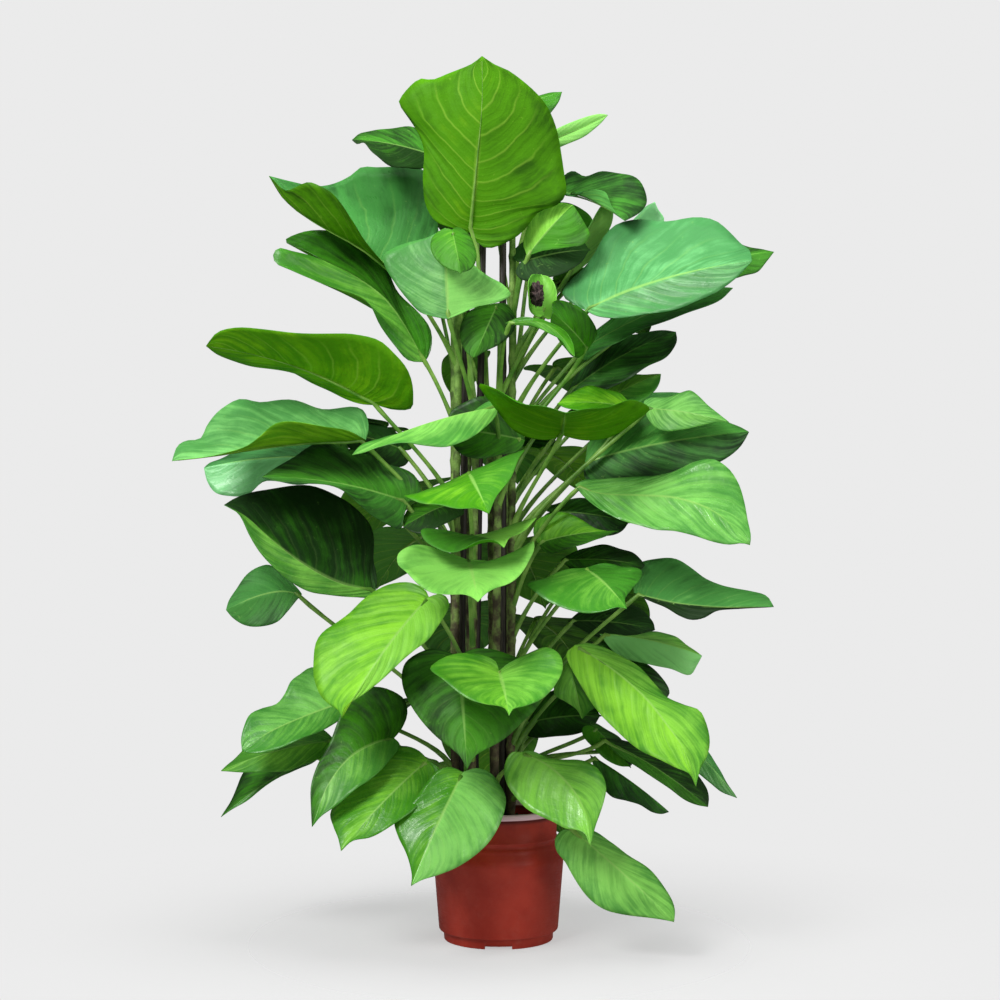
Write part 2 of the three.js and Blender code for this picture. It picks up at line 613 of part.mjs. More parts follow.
      [[580, 575, 15], [610, 582, 20], [635, 575, 10]],
    ] },
  right_tail: { base: [634, 593, 20], tip: [774, 607, 90],
    keel: [[660, 600, 48], [682, 604, 62], [722, 607, 75], [750, 607, 84]],
    edges: [
      [[633, 575, 0], [640, 561, -18], [655, 557, -25], [672, 559, -20], [692, 570, 0], [707, 580, 20],
       [722, 586, 35], [750, 590, 62], [767, 596, 80]],
      [[648, 600, 40], [665, 607, 55], [680, 616, 64], [692, 620, 68], [704, 618, 70], [717, 611, 72],
       [740, 609, 78]],
    ] },
  right_under: { base: [568, 621, -45], tip: [655, 630, -45],
    edges: [
      [[583, 609, -70], [605, 601, -88], [628, 604, -90], [644, 611, -75], [653, 621, -58]],
      [[587, 632, -30], [610, 640, -25], [635, 638, -32]],
    ] },
  right_blunt: { base: [600, 634, 0], tip: [702, 656, 50],
    edges: [
      [[615, 634, -15], [635, 635, -20], [655, 633, -20], [672, 636, -5], [688, 645, 25]],
      [[612, 650, 15], [630, 660, 35], [650, 665, 50], [670, 669, 58], [690, 674, 62], [697, 665, 58]],
    ] },
  right_low: { base: [575, 645, 90], tip: [696, 787, 200],
    keel: [[600, 660, 95], [622, 676, 108], [645, 697, 125], [665, 722, 145], [684, 750, 170]],
    edges: [
      [[566, 653, 95], [569, 663, 103], [577, 678, 115], [590, 700, 128], [605, 720, 140],
       [622, 737, 152], [640, 750, 162], [657, 758, 172], [675, 767, 182], [690, 774, 192]],
      [[587, 643, 85], [605, 647, 80], [622, 656, 82], [640, 667, 88], [656, 685, 98], [667, 699, 108],
       [684, 707, 115], [699, 711, 122], [706, 722, 130], [710, 738, 140], [708, 754, 155],
       [701, 768, 175], [698, 778, 190]],
    ] },
  right_low_back: { base: [600, 650, 10], tip: [668, 700, 20], edges: [[652, 668, 10], [630, 690, 30]] },
  mid_right_hang: { base: [566, 655, 60], tip: [582, 719, 110],
    edges: [
      [[560, 664, 64], [555, 680, 70], [555, 695, 78], [566, 702, 86], [577, 710, 98]],
      [[572, 664, 62], [578, 680, 66], [588, 698, 74], [596, 706, 82], [590, 711, 95]],
    ] },
  low_heart: { base: [499, 671, 150], tip: [509, 716, 265], lift: [0.15, 0.15], vine: 5,
    edges: [
      [[496, 662, 150], [487, 656, 148], [474, 652, 150], [460, 652, 156], [446, 657, 165],
       [434, 664, 176], [430, 669, 184], [440, 680, 200], [455, 691, 215], [471, 699, 228],
       [487, 704, 241], [500, 706, 252], [506, 709, 259]],
      [[506, 665, 148], [518, 657, 147], [531, 650, 150], [543, 647, 156], [554, 650, 165],
       [561, 657, 174], [563, 668, 184], [560, 680, 198], [551, 691, 212], [538, 700, 228],
       [524, 706, 243], [513, 709, 257]],
    ] },
  low_heart_under: { base: [458, 657, 95], tip: [467, 770, 200],
    edges: [
      [[447, 651, 95], [432, 648, 98], [417, 652, 104], [406, 661, 112], [402, 673, 120], [403, 688, 130],
       [411, 706, 142], [423, 723, 156], [437, 737, 170], [451, 748, 182], [461, 758, 192]],
      [[470, 650, 95], [490, 648, 95], [515, 655, 98], [535, 670, 108], [543, 690, 120], [537, 708, 135],
       [523, 722, 152], [506, 737, 168], [488, 748, 182], [475, 756, 192]],
    ] },
  left_bright: { base: [429, 597, 100], tip: [342, 718, 210],
    edges: [
      [[425, 590, 98], [414, 583, 92], [401, 581, 88], [388, 583, 88], [375, 590, 92], [363, 600, 98],
       [350, 613, 108], [336, 624, 118], [324, 634, 126], [317, 645, 134], [314, 660, 143],
       [313, 676, 155], [320, 695, 172], [330, 705, 187], [338, 710, 198]],
      [[438, 594, 105], [446, 596, 112], [449, 604, 120], [445, 614, 130], [438, 626, 140],
       [428, 640, 150], [415, 650, 160], [400, 663, 170], [385, 677, 180], [368, 691, 190],
       [352, 702, 200], [344, 708, 206]],
    ] },
  left_paddle: { base: [302, 594, 40], tip: [226, 610, 70],
    keel: [[282, 591, 46], [260, 595, 55], [240, 603, 64]],
    edges: [
      [[293, 583, 30], [280, 572, 15], [268, 565, 5], [258, 568], [245, 578, 20], [235, 590],
       [229, 600, 50]],
      [[295, 602, 48], [287, 612, 55], [277, 622, 62], [260, 627, 65], [245, 625, 67], [233, 618, 70]],
    ] },
  low_left_a: { base: [350, 700, 30], tip: [242, 751, 90],
    keel: [[335, 705, 38], [300, 718, 58], [268, 733, 76]],
    edges: [
      [[345, 685, 15], [330, 672, 5], [311, 667, 5], [300, 674, 12], [291, 682, 20], [285, 695, 30],
       [277, 704, 40], [262, 708, 52], [250, 714, 62], [244, 726, 72], [241, 739, 82]],
      [[352, 712, 38], [340, 720, 48], [325, 729, 66], [308, 737, 84], [290, 744, 94], [272, 750, 98],
       [255, 753, 98]],
    ] },
  low_left_b: { base: [335, 740, 10], tip: [221, 771, 50],
    edges: [
      [[320, 728, -10], [295, 730, -20], [265, 738, -15], [243, 750, 5], [230, 762, 30]],
      [[325, 755, 30], [307, 763, 42], [288, 771, 50], [262, 772, 52], [238, 772, 52]],
    ] },
  low_left_c: { base: [322, 755, -30], tip: [221, 817, 0],
    edges: [
      [[310, 755, -45], [285, 750, -60], [262, 758, -60], [245, 771, -50], [237, 787, -35],
       [228, 805, -15]],
      [[312, 763, -15], [296, 769, -5], [279, 778, 0], [264, 787, 0], [248, 800, 0], [232, 809, 0]],
    ] },
  low_left_d: { base: [394, 738, 70], tip: [312, 827, 140],
    keel: [[375, 743, 82], [350, 757, 98], [328, 785, 120]],
    edges: [
      [[402, 728, 60], [408, 712, 48], [405, 698, 40], [390, 689, 34], [372, 687, 36], [357, 692, 42],
       [345, 703, 54], [338, 722, 70], [329, 745, 88], [318, 763, 105], [311, 785, 122], [311, 808, 135]],
      [[400, 745, 85], [393, 755, 98], [383, 768, 112], [370, 780, 125], [352, 793, 135], [335, 806, 140],
       [320, 817, 142]],
    ] },
  low_left_e: { base: [428, 760, 80], tip: [341, 851, 160],
    edges: [
      [[418, 750, 74], [402, 745, 74], [385, 752, 80], [365, 775, 90], [345, 795, 104], [330, 812, 120],
       [333, 826, 135], [338, 838, 148]],
      [[440, 770, 88], [436, 785, 102], [425, 800, 118], [408, 815, 138], [390, 827, 150],
       [370, 837, 157], [352, 841, 160]],
    ] },
  pot_left: { base: [463, 772, 100], tip: [411, 886, 190],
    edges: [
      [[450, 767, 102], [438, 770, 106], [428, 780, 112], [418, 795, 120], [406, 810, 128],
       [395, 822, 136], [398, 836, 146], [405, 851, 157], [410, 866, 170], [412, 877, 180]],
      [[476, 768, 100], [490, 772, 104], [500, 783, 112], [506, 798, 122], [503, 816, 134],
       [496, 832, 146], [486, 846, 156], [472, 858, 165], [455, 868, 173], [435, 876, 180],
       [422, 880, 185]],
    ] },
  pot_right: { base: [520, 752, 110], tip: [590, 846, 190],
    keel: [[545, 763, 122], [562, 777, 135], [578, 797, 152], [588, 822, 172]],
    edges: [
      [[512, 752, 112], [506, 760, 118], [504, 772, 125], [508, 786, 134], [517, 799, 142],
       [528, 810, 150], [541, 817, 158], [553, 822, 165], [566, 828, 172], [578, 830, 178],
       [585, 834, 183]],
      [[532, 751, 105], [548, 757, 105], [565, 759, 108], [582, 761, 115], [594, 766, 122],
       [602, 775, 130], [606, 788, 138], [604, 801, 147], [600, 814, 157], [596, 825, 168],
       [593, 835, 180]],
    ] },
  lowest_right: { base: [572, 830, 95], tip: [674, 922, 150],
    edges: [
      [[562, 830, 92], [555, 838, 95], [556, 850, 100], [565, 862, 106], [573, 876, 112], [582, 890, 118],
       [592, 901, 124], [606, 910, 130], [625, 915, 136], [650, 918, 143], [664, 920, 148]],
      [[583, 829, 92], [596, 831, 90], [611, 842, 92], [626, 854, 97], [642, 865, 103], [655, 876, 110],
       [665, 887, 118], [672, 899, 127], [675, 911, 140]],
    ] },
  right_bottom_tip: { base: [670, 730, 0], tip: [737, 798, 20],
    edges: [
      [[690, 735, -10], [709, 754, -10], [718, 768, -5], [727, 782, 5]],
      [[678, 752, 15], [697, 772, 20], [710, 783, 22], [722, 792, 24]],
    ] },
  right_bottom: { base: [600, 738, 40], tip: [708, 807, 80],
    edges: [
      [[625, 740, 25], [660, 750, 20], [690, 768, 35], [706, 785, 58], [709, 797, 72]],
      [[618, 755, 50], [637, 767, 60], [655, 779, 68], [670, 789, 74], [685, 800, 78], [697, 805, 80]],
    ] },
  right_bottom_thin: { base: [590, 755, 30], tip: [669, 812, 60],
    edges: [
      [[601, 763, 30], [609, 775, 35], [618, 785, 40], [635, 793, 46], [652, 801, 52], [662, 807, 57]],
      [[595, 770, 38], [602, 786, 45], [612, 797, 50], [627, 801, 55], [640, 805, 58], [652, 812, 62],
       [662, 814, 62]],
    ] },
  olive_under: { base: [592, 726, 20], tip: [631, 768, 40], edges: [[597, 752, 40], [625, 745, 0]] },
  low_back_right: { base: [530, 722, -30], tip: [602, 716, -20], edges: [[565, 690, -70], [565, 736, -10]]
    },
  left_shade: { base: [405, 450, -30], tip: [340, 432, -20], edges: [[375, 424, -50], [372, 462, -10]] },
};

// The leaves of the far side, from the soil up
const REAR_LEAVES = [
  { bearing: 62, height: 205, reach: 150, length: 200, width: 140, pitch: 38, lean: 5 },
  { bearing: 118, height: 225, reach: 140, length: 190, width: 140, pitch: 36, lean: -5 },
  { bearing: 88, height: 275, reach: 165, length: 215, width: 155, pitch: 34, lean: 4 },
  { bearing: 35, height: 330, reach: 175, length: 200, width: 140, pitch: 30, lean: -6 },
  { bearing: 128, height: 318, reach: 160, length: 190, width: 130, pitch: 28, lean: 6 },
  { bearing: 64, height: 436, reach: 170, length: 215, width: 160, pitch: 28, lean: -4 },
  { bearing: 98, height: 455, reach: 160, length: 210, width: 150, pitch: 30, lean: 5 },
  { bearing: 45, height: 485, reach: 160, length: 200, width: 145, pitch: 26, lean: 5 },
  { bearing: 120, height: 562, reach: 175, length: 190, width: 135, pitch: 26, lean: -5 },
  { bearing: 74, height: 548, reach: 165, length: 215, width: 155, pitch: 28, lean: 6 },
  { bearing: 58, height: 688, reach: 160, length: 180, width: 130, pitch: 22, lean: -4 },
  { bearing: 124, height: 640, reach: 175, length: 215, width: 155, pitch: 24, lean: 4 },
  { bearing: 38, height: 735, reach: 160, length: 190, width: 140, pitch: 20, lean: 6 },
  { bearing: 80, height: 712, reach: 165, length: 150, width: 150, pitch: 26, lean: -5 },
  { bearing: 150, height: 715, reach: 165, length: 180, width: 130, pitch: 20, lean: -6 },
  { bearing: 50, height: 812, reach: 160, length: 190, width: 140, pitch: 20, lean: 5 },
  { bearing: 100, height: 825, reach: 110, length: 150, width: 70, pitch: 20, lean: 4 },
  { bearing: 38, height: 925, reach: 150, length: 180, width: 140, pitch: 20, lean: -6 },
  { bearing: 42, height: 935, reach: 140, length: 195, width: 145, pitch: 12, lean: 5 },
  { bearing: 135, height: 980, reach: 140, length: 190, width: 140, pitch: 10, lean: -5 },
  { bearing: 95, height: 1045, reach: 120, length: 180, width: 135, pitch: 5, lean: 4 },
  { bearing: 45, height: 1035, reach: 100, length: 130, width: 110, pitch: 20, lean: -4 },
  { bearing: 118, height: 1075, reach: 105, length: 170, width: 125, pitch: -10, lean: 4 },
];

// Stems and petioles

function bearingOf(vine, height) {
  return FIRST_VINE + (360 / VINE_TOPS.length) * vine + (TURN_PER_METRE * (height - SOIL_MIDDLE)) / 1000;
}

function stemCentre(vine, height) {
  const angle = radians(bearingOf(vine, height));
  const outward = new THREE.Vector3(Math.cos(angle), Math.sin(angle), 0);
  return sum([BUNDLE, 1], [outward, RING_RADIUS], [UP, height]);
}

// The vine that stands on the leaf's side of the bundle
function nearestVine(base) {
  const bearing = THREE.MathUtils.radToDeg(Math.atan2(base.y - BUNDLE.y, base.x - BUNDLE.x));
  const places = (bearing - bearingOf(0, base.z)) / (360 / VINE_TOPS.length);
  return THREE.MathUtils.euclideanModulo(Math.round(places), VINE_TOPS.length);
}

// A petiole leaves its stem below the blade, climbs outwards and turns into the blade's midrib
function petiole(vine, form) {
  const { point: base, forward, above } = form.rib(0);
  const reach = Math.hypot(base.x - BUNDLE.x, base.y - BUNDLE.y);
  const lowest = SOIL_MIDDLE + 18;
  const usual = base.z - 30 - 0.75 * reach;
  const node = Math.min(Math.max(usual, lowest + 0.3 * (base.z - lowest), lowest), VINE_TOPS[vine]);
  const start = stemCentre(vine, node);
  const end = sum([base, 1], [forward, 8], [above, -0.6]);
  const run = start.distanceTo(end) / 3;
  const climb = THREE.MathUtils.clamp((end.z - start.z) / run, -0.3, 0.7);
  const outward = unit(new THREE.Vector3(end.x - start.x, end.y - start.y, 0));
  const rising = sum([start, 1], [UP, 0.8 * run], [outward, 0.35 * run]);
  const arriving = unit(sum([forward, 0.3], [UP, climb], [outward, 0.5]));
  const curve = new THREE.CubicBezierCurve3(start, rising, sum([end, 1], [arriving, -run]), end);
  return tube(curve.getPoints(PETIOLE_STEPS), PETIOLE_RADIUS, PETIOLE_TIP_RADIUS, 3);
}

function stem(vine) {
  const top = VINE_TOPS[vine];
  const steps = Math.round((top - STEM_FOOT) / STEM_STEP);
  const heights = Array.from({ length: steps + 1 }, (_, k) => STEM_FOOT + ((top - STEM_FOOT) * k) / steps);
  return tube(heights.map((height) => stemCentre(vine, height)), STEM_RADIUS, STEM_TIP_RADIUS, 6);
}

// Each vine is one body: its stem, its petioles and its blades, grown together
function growVines() {
  const vines = VINE_TOPS.map((_, vine) => [toManifold(stem(vine))]);
  const leaves = [...Object.values(FRONT_LEAVES).map(front), ...REAR_LEAVES.map(rear)];
  for (const leaf of leaves) {
    const vine = leaf.vine ?? nearestVine(leaf.base);
    const form = blade(leaf);
    vines[vine].push(toManifold(bladeGeometry(form)), toManifold(petiole(vine, form)));
  }
  return vines.map((pieces) => toGeometry(wasm.Manifold.union(pieces).asOriginal().simplify(SLIVER)));
}

// Canes

const CANES = {
  cane_right: [new THREE.Vector3(6, -10, CANE_FOOT), new THREE.Vector3(6, -10, 1010)],
  cane_middle: [new THREE.Vector3(-36, 10, CANE_FOOT), new THREE.Vector3(-22, 10, 1010)],
  cane_left: [new THREE.Vector3(-56, 0, CANE_FOOT), new THREE.Vector3(-44, 0, 1010)],
};

// Pot and soil

// The outside from the foot up: foot ring, taper, shoulder, grooved collar and rim; then down the inside
const POT_PROFILE = [
  [HUB_RADIUS, 0], [HUB_RADIUS, FLOOR_UNDERSIDE], [FOOT_RADIUS - FOOT_RING, FLOOR_UNDERSIDE],
  [FOOT_RADIUS - FOOT_RING, 0], [FOOT_RADIUS - 0.5, 0], [FOOT_RADIUS, FOOT_HEIGHT],
  [BODY_FOOT_RADIUS, FOOT_HEIGHT + 3], [BODY_RADIUS, SHOULDER_LOW], [COLLAR_RADIUS + 3.5, SHOULDER_HIGH],
  [COLLAR_RADIUS, SHOULDER_HIGH + 5], [COLLAR_RADIUS + 0.5, POT_HEIGHT - 9],
  [RIM_RADIUS, POT_HEIGHT - 8], [RIM_RADIUS, POT_HEIGHT], [COLLAR_RADIUS - WALL + 1, POT_HEIGHT],
  [COLLAR_RADIUS - WALL, SHOULDER_HIGH + 3], [BODY_RADIUS - WALL - 1, SHOULDER_LOW - 1],
  [BODY_FOOT_RADIUS - WALL - 1, FLOOR_TOP + 8], [FOOT_RADIUS - WALL, FLOOR_TOP],
];

function buildPot() {
  const outline = [[0, 0], ...POT_PROFILE, [0, FLOOR_TOP]];
  let pot = toManifold(lathe(outline, POT_SIDES));
  for (let k = 0; k < NOTCHES; k += 1) {
    const angle = (2 * Math.PI * k) / NOTCHES - Math.PI / 2;
    const notch = new THREE.BoxGeometry(3 * FOOT_RING, NOTCH_WIDTH, 2 * NOTCH_HEIGHT);
    notch.translate(FOOT_RADIUS, 0, 0);
    notch.rotateZ(angle);
    const drain = new THREE.CylinderGeometry(DRAIN_RADIUS, DRAIN_RADIUS, 3 * FLOOR_TOP, 8);
    drain.rotateX(Math.PI / 2);
    drain.translate(DRAIN_RING * Math.cos(angle), DRAIN_RING * Math.sin(angle), 0);
    pot = pot.subtract(toManifold(notch)).subtract(toManifold(drain));
  }
  return toGeometry(pot);
}

// The soil fills the pot inside and has a plain hole for each cane and stem
function buildSoil() {
  const profile = [
    [0, FLOOR_TOP + FIT], [FOOT_RADIUS - WALL - FIT, FLOOR_TOP + FIT],
    [BODY_FOOT_RADIUS - WALL - 1 - FIT, FLOOR_TOP + 8 + FIT],
    [BODY_RADIUS - WALL - 1 - FIT, SHOULDER_LOW - 1],
    [COLLAR_RADIUS - WALL - FIT, SHOULDER_HIGH + 3 - FIT], [COLLAR_RADIUS - WALL - FIT, SOIL_EDGE],
    [RING_RADIUS + 20, SOIL_MIDDLE], [0, SOIL_MIDDLE],
  ];
  let soil = toManifold(lathe(profile, POT_SIDES));
  for (const [foot, top] of Object.values(CANES)) {
    const low = sum([foot, 1], [UP, -FIT]);
    soil = soil.subtract(toManifold(bar(low, top, CANE_RADIUS + HOLE_ROOM, CANE_RADIUS + HOLE_ROOM, 8)));
  }
  for (let vine = 0; vine < VINE_TOPS.length; vine += 1) {
    const path = [STEM_FOOT - FIT, STEM_FOOT + STEM_STEP].map((height) => stemCentre(vine, height));
    soil = soil.subtract(toManifold(tube(path, STEM_RADIUS + HOLE_ROOM, STEM_RADIUS + HOLE_ROOM, 8)));
  }
  return toGeometry(soil);
}

// The plant as a scene graph

const finishes = {
  pot: new THREE.MeshStandardMaterial({ color: 0x8c2a20, roughness: 0.5, metalness: 0 }),
  soil: new THREE.MeshStandardMaterial({ color: 0x2e231a, roughness: 1, metalness: 0 }),
  cane: new THREE.MeshStandardMaterial({ color: 0x2b2521, roughness: 0.8, metalness: 0 }),
  leaf: new THREE.MeshStandardMaterial({ color: 0x3f8f2a, roughness: 0.4, metalness: 0 }),
};

const pothos = new THREE.Group();

function place(name, geometry, material) {
  const mesh = new THREE.Mesh(geometry, material);
  mesh.name = name;
  pothos.add(mesh);
}

place('pot', buildPot(), finishes.pot);
place('soil', buildSoil(), finishes.soil);
for (const [name, [foot, top]] of Object.entries(CANES)) {
  place(name, bar(foot, top, CANE_RADIUS, CANE_RADIUS, 8), finishes.cane);
}
growVines().forEach((geometry, vine) => place(`vine_${vine + 1}`, geometry, finishes.leaf));

export default pothos;
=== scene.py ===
# %% [markdown]
# # A potted golden pothos
#
# The plant is eight leafy vines that climb round three dark canes in a plastic nursery pot. The packed
# CAD model gives every size and place, and each piece made here stands for one of its nodes with more
# detail. The frame is loaded before anything else is made. Its box is kept, because the finished pieces
# have to fill the same one. Its box is kept and printed, and at the end the box of the finished pieces is
# printed beside it. Blender counts in metres, and `MM` turns millimetres into them.

# %% Load the frame
import math
import random
from bisect import bisect

import bmesh
import bpy
from mathutils import Euler, Matrix, Vector, noise
from mathutils.geometry import interpolate_bezier


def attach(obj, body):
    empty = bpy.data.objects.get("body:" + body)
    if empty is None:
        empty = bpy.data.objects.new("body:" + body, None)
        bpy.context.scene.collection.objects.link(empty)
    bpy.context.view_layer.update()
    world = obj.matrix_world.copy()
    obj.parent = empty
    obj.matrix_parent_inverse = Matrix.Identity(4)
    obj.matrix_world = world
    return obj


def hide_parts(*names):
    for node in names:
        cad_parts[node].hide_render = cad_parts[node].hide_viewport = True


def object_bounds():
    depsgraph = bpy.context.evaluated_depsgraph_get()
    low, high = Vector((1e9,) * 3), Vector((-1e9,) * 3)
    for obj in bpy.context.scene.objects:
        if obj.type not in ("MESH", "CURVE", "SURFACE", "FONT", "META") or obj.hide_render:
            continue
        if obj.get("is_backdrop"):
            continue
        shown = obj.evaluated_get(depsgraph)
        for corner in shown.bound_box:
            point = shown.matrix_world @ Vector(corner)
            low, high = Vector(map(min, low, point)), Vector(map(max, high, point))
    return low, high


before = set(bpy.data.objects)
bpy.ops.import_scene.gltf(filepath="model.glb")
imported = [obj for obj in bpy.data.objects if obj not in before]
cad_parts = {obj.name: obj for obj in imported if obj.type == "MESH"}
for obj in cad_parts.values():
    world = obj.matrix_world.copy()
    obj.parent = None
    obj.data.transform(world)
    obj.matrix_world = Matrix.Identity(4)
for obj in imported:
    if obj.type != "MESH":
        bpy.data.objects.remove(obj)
cad_box = [list(corner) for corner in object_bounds()]
print("nodes:", sorted(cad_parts))
print("box:", cad_box)

MM = 0.001
UP = Vector((0, 0, 1))
chance = random.Random(7)

# %% [markdown]
# ## The camera
#
# The photo was taken from a little below the plant's middle, two metres away, with the camera tipped up
# by a few degrees. The same numbers place the leaves, because each front leaf was read off the photo
# as columns and rows of a 1000 by 1000 picture. A lens is given in millimetres for a 36 mm wide sensor,
# so a distance of 1527.8 pixels becomes a 55 mm lens.

# %% Camera
VIEW_CENTRE = 500
VIEW_LENS = 1527.8
VIEW_DISTANCE = 2.139
VIEW_HEIGHT = 0.478
VIEW_SIDE = 0.002
VIEW_TILT = math.radians(3.37)
SENSOR_WIDTH = 36

camera_data = bpy.data.cameras.new("camera")
camera_data.sensor_width = SENSOR_WIDTH
camera_data.lens = VIEW_LENS * SENSOR_WIDTH / (2 * VIEW_CENTRE)
camera = bpy.data.objects.new("camera", camera_data)
camera.location = (VIEW_SIDE, -VIEW_DISTANCE, VIEW_HEIGHT)
camera.rotation_euler = (math.pi / 2 + VIEW_TILT, 0, 0)
bpy.context.collection.objects.link(camera)
bpy.context.scene.camera = camera
print(f"lens {camera_data.lens:.1f} mm")

# %% [markdown]
# ## The studio
#
# A cut-out product photo has a plain bright backdrop, no hard shadow and no coloured light. The world
# does two jobs here, so its strength depends on the kind of ray: the camera sees a bright backdrop, the
# plant gets a softer light from all round, and the gloss of a leaf sees nearly nothing of it. A waxy
# blade would otherwise mirror the whole pale room and look dusty. Its highlights come from two large soft
# lamps instead, a key above on the left and a weaker fill on the right. A third lamp overhead only lights
# the plant and is left out of the gloss, because blades seen edge-on would turn grey with it.

# %% Studio
BACKDROP = 0.83
ROOM_LIGHT = 0.42
ROOM_GLOSS = 0.06
LAMPS = {
    "key": {"place": (-1.5, -1.9, 2.4), "size": 1.1, "watts": 78},
    "fill": {"place": (2.0, -1.7, 1.2), "size": 1.4, "watts": 16},
    "top": {"place": (0.3, -0.1, 3.0), "size": 1.5, "watts": 62, "glossy": False},
}
LAMP_AIM = Vector((0, 0, 0.6))

scene = bpy.context.scene
scene.view_settings.view_transform = "Standard"
world = bpy.data.worlds.new("studio")
world.use_nodes = True
scene.world = world


def by_ray(kind, value, other):
    """A strength that differs for one kind of ray"""
    path = world.node_tree.nodes.new("ShaderNodeLightPath")
    choice = world.node_tree.nodes.new("ShaderNodeMix")
    world.node_tree.links.new(path.outputs[kind], choice.inputs["Factor"])
    choice.inputs["B"].default_value = value
    if isinstance(other, bpy.types.NodeSocket):
        world.node_tree.links.new(other, choice.inputs["A"])
    else:
        choice.inputs["A"].default_value = other
    return choice.outputs["Result"]


room = world.node_tree.nodes["Background"]
room.inputs["Color"].default_value = (1, 1, 1, 1)
strength = by_ray("Is Camera Ray", BACKDROP, by_ray("Is Glossy Ray", ROOM_GLOSS, ROOM_LIGHT))
world.node_tree.links.new(strength, room.inputs["Strength"])


def add_lamp(name, place, size, watts, glossy=True):
    data = bpy.data.lights.new(name, "AREA")
    data.size = size
    data.energy = watts
    lamp = bpy.data.objects.new(name, data)
    lamp.location = place
    lamp.visible_glossy = glossy
    lamp.rotation_euler = (LAMP_AIM - Vector(place)).to_track_quat("-Z", "Y").to_euler()
    bpy.context.collection.objects.link(lamp)


for name, values in LAMPS.items():
    add_lamp(name, **values)
print("lamps:", list(LAMPS))

# %% [markdown]
# ## Helpers
#
# Every piece ends the same way: its mesh becomes an object at the origin, with smooth shading and
# materials, the CAD node it stands for is hidden, and the piece rides on the root body. One function does
# all of that, so no piece can miss a step.

# %% Finish a piece
def add_piece(name, mesh, materials, node):
    for material in materials:
        mesh.materials.append(material)
    piece = bpy.data.objects.new(name, mesh)
    bpy.context.collection.objects.link(piece)
    mesh.shade_smooth()
    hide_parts(node)
    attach(piece, "root")
    print(f"{name}: {len(mesh.polygons)} faces")
    return piece


def mesh_from(maker, name):
    mesh = bpy.data.meshes.new(name)
    maker.to_mesh(mesh)
    maker.free()
    return mesh


# %% [markdown]
# Materials are node trees. A small class keeps their code short: `add` makes a node with its settings,
# and any input that is given another node's output becomes a link.

# %% Material helpers
class Tree:
    """A material's node tree, built a node at a time"""

    def __init__(self, name):
        self.material = bpy.data.materials.new(name)
        self.material.use_nodes = True
        self.tree = self.material.node_tree
        self.shader = self.tree.nodes["Principled BSDF"]

    def add(self, kind, inputs=None, output=0, **settings):
        node = self.tree.nodes.new(kind)
        for key, value in settings.items():
            setattr(node, key, value)
        for key, value in (inputs or {}).items():
            self.set(node.inputs[key], value)
        return node.outputs[output]

    def set(self, socket, value):
        if isinstance(value, bpy.types.NodeSocket):
            self.tree.links.new(value, socket)
        else:
            socket.default_value = value

    def object_place(self):
        return self.add("ShaderNodeTexCoord", output=3)

    def math(self, operation, *values):
        return self.add("ShaderNodeMath", dict(enumerate(values)), operation=operation)

    def times(self, a, b):
        return self.math("MULTIPLY", a, b)

    def plus(self, a, b):
        return self.math("ADD", a, b)

    def from_middle(self, value):
        """How far a value between 0 and 1 is from a half"""
        return self.math("ABSOLUTE", self.math("SUBTRACT", value, 0.5))

    def fade(self, value, low, high, to_low=0.0, to_high=1.0):
        """Value goes smoothly from to_low at low to to_high at high"""
        places = {"Value": value, "From Min": low, "From Max": high, "To Min": to_low, "To Max": to_high}
        return self.add("ShaderNodeMapRange", places, interpolation_type="SMOOTHSTEP")

    def mix(self, share, a, b):
        return self.add("ShaderNodeMix", {0: share, 6: a, 7: b}, output=2, data_type="RGBA")

    def noise(self, scale, detail, roughness, where=None):
        where = where or self.object_place()
        values = {"Vector": where, "Scale": scale, "Detail": detail, "Roughness": roughness}
        return self.add("ShaderNodeTexNoise", values)

    def bump(self, height, distance, strength=1.0, normal=None):
        values = {"Height": height, "Distance": distance, "Strength": strength}
        if normal:
            values["Normal"] = normal
        return self.add("ShaderNodeBump", values)

    def finish(self, **values):
        for key, value in values.items():
            self.set(self.shader.inputs[key.replace("_", " ")], value)
        return self.material


print("helpers ready")
# %% [markdown]
# ## Where the leaves hang
#
# A blade hangs on the place where the stalk joins it, on its tip and on the outline of each half. For a
# leaf on the front of the plant, each point is a column and a row of the photo and a distance in
# millimetres in front of the pot's axis, and `seen` turns the three into a place. Points of an outline
# that give no distance take one evenly from their neighbours. `front` does this for a whole leaf: its
# base, its tip, the left and the right outline, and, for some leaves, the course of the midrib.

# %% A point of the front view
def seen(column, row, forward):
    across = (column - VIEW_CENTRE) / VIEW_LENS
    rise = (VIEW_CENTRE - row) / VIEW_LENS
    cos, sin = math.cos(VIEW_TILT), math.sin(VIEW_TILT)
    reach = (VIEW_DISTANCE - forward * MM) / (cos - rise * sin)
    return Vector((VIEW_SIDE + across * reach, -forward * MM, VIEW_HEIGHT + (sin + rise * cos) * reach))


def fill_forward(points):
    ways = [0]
    for (column, row, *_), (next_column, next_row, *_) in zip(points, points[1:]):
        ways.append(ways[-1] + math.hypot(next_column - column, next_row - row))
    given = [k for k, point in enumerate(points) if len(point) == 3]
    filled = []
    for k, (column, row, *_) in enumerate(points):
        before = max(n for n in given if n <= k)
        after = min(n for n in given if n >= k)
        share = (ways[k] - ways[before]) / (ways[after] - ways[before]) if after > before else 0
        filled.append((column, row, points[before][2] + share * (points[after][2] - points[before][2])))
    return filled


def front(base, tip, left, right, keel=None, **rest):
    outlines = []
    for edge in (left, right):
        points = edge if isinstance(edge[0], tuple) else (edge,)
        outlines.append([seen(*point) for point in fill_forward((base, *points, tip))[1:-1]])
    keel = keel and [seen(*point) for point in keel]
    return {"base": seen(*base), "tip": seen(*tip), "edges": outlines, "keel": keel, **rest}


print("the middle of the view:", seen(VIEW_CENTRE, VIEW_CENTRE, 0))


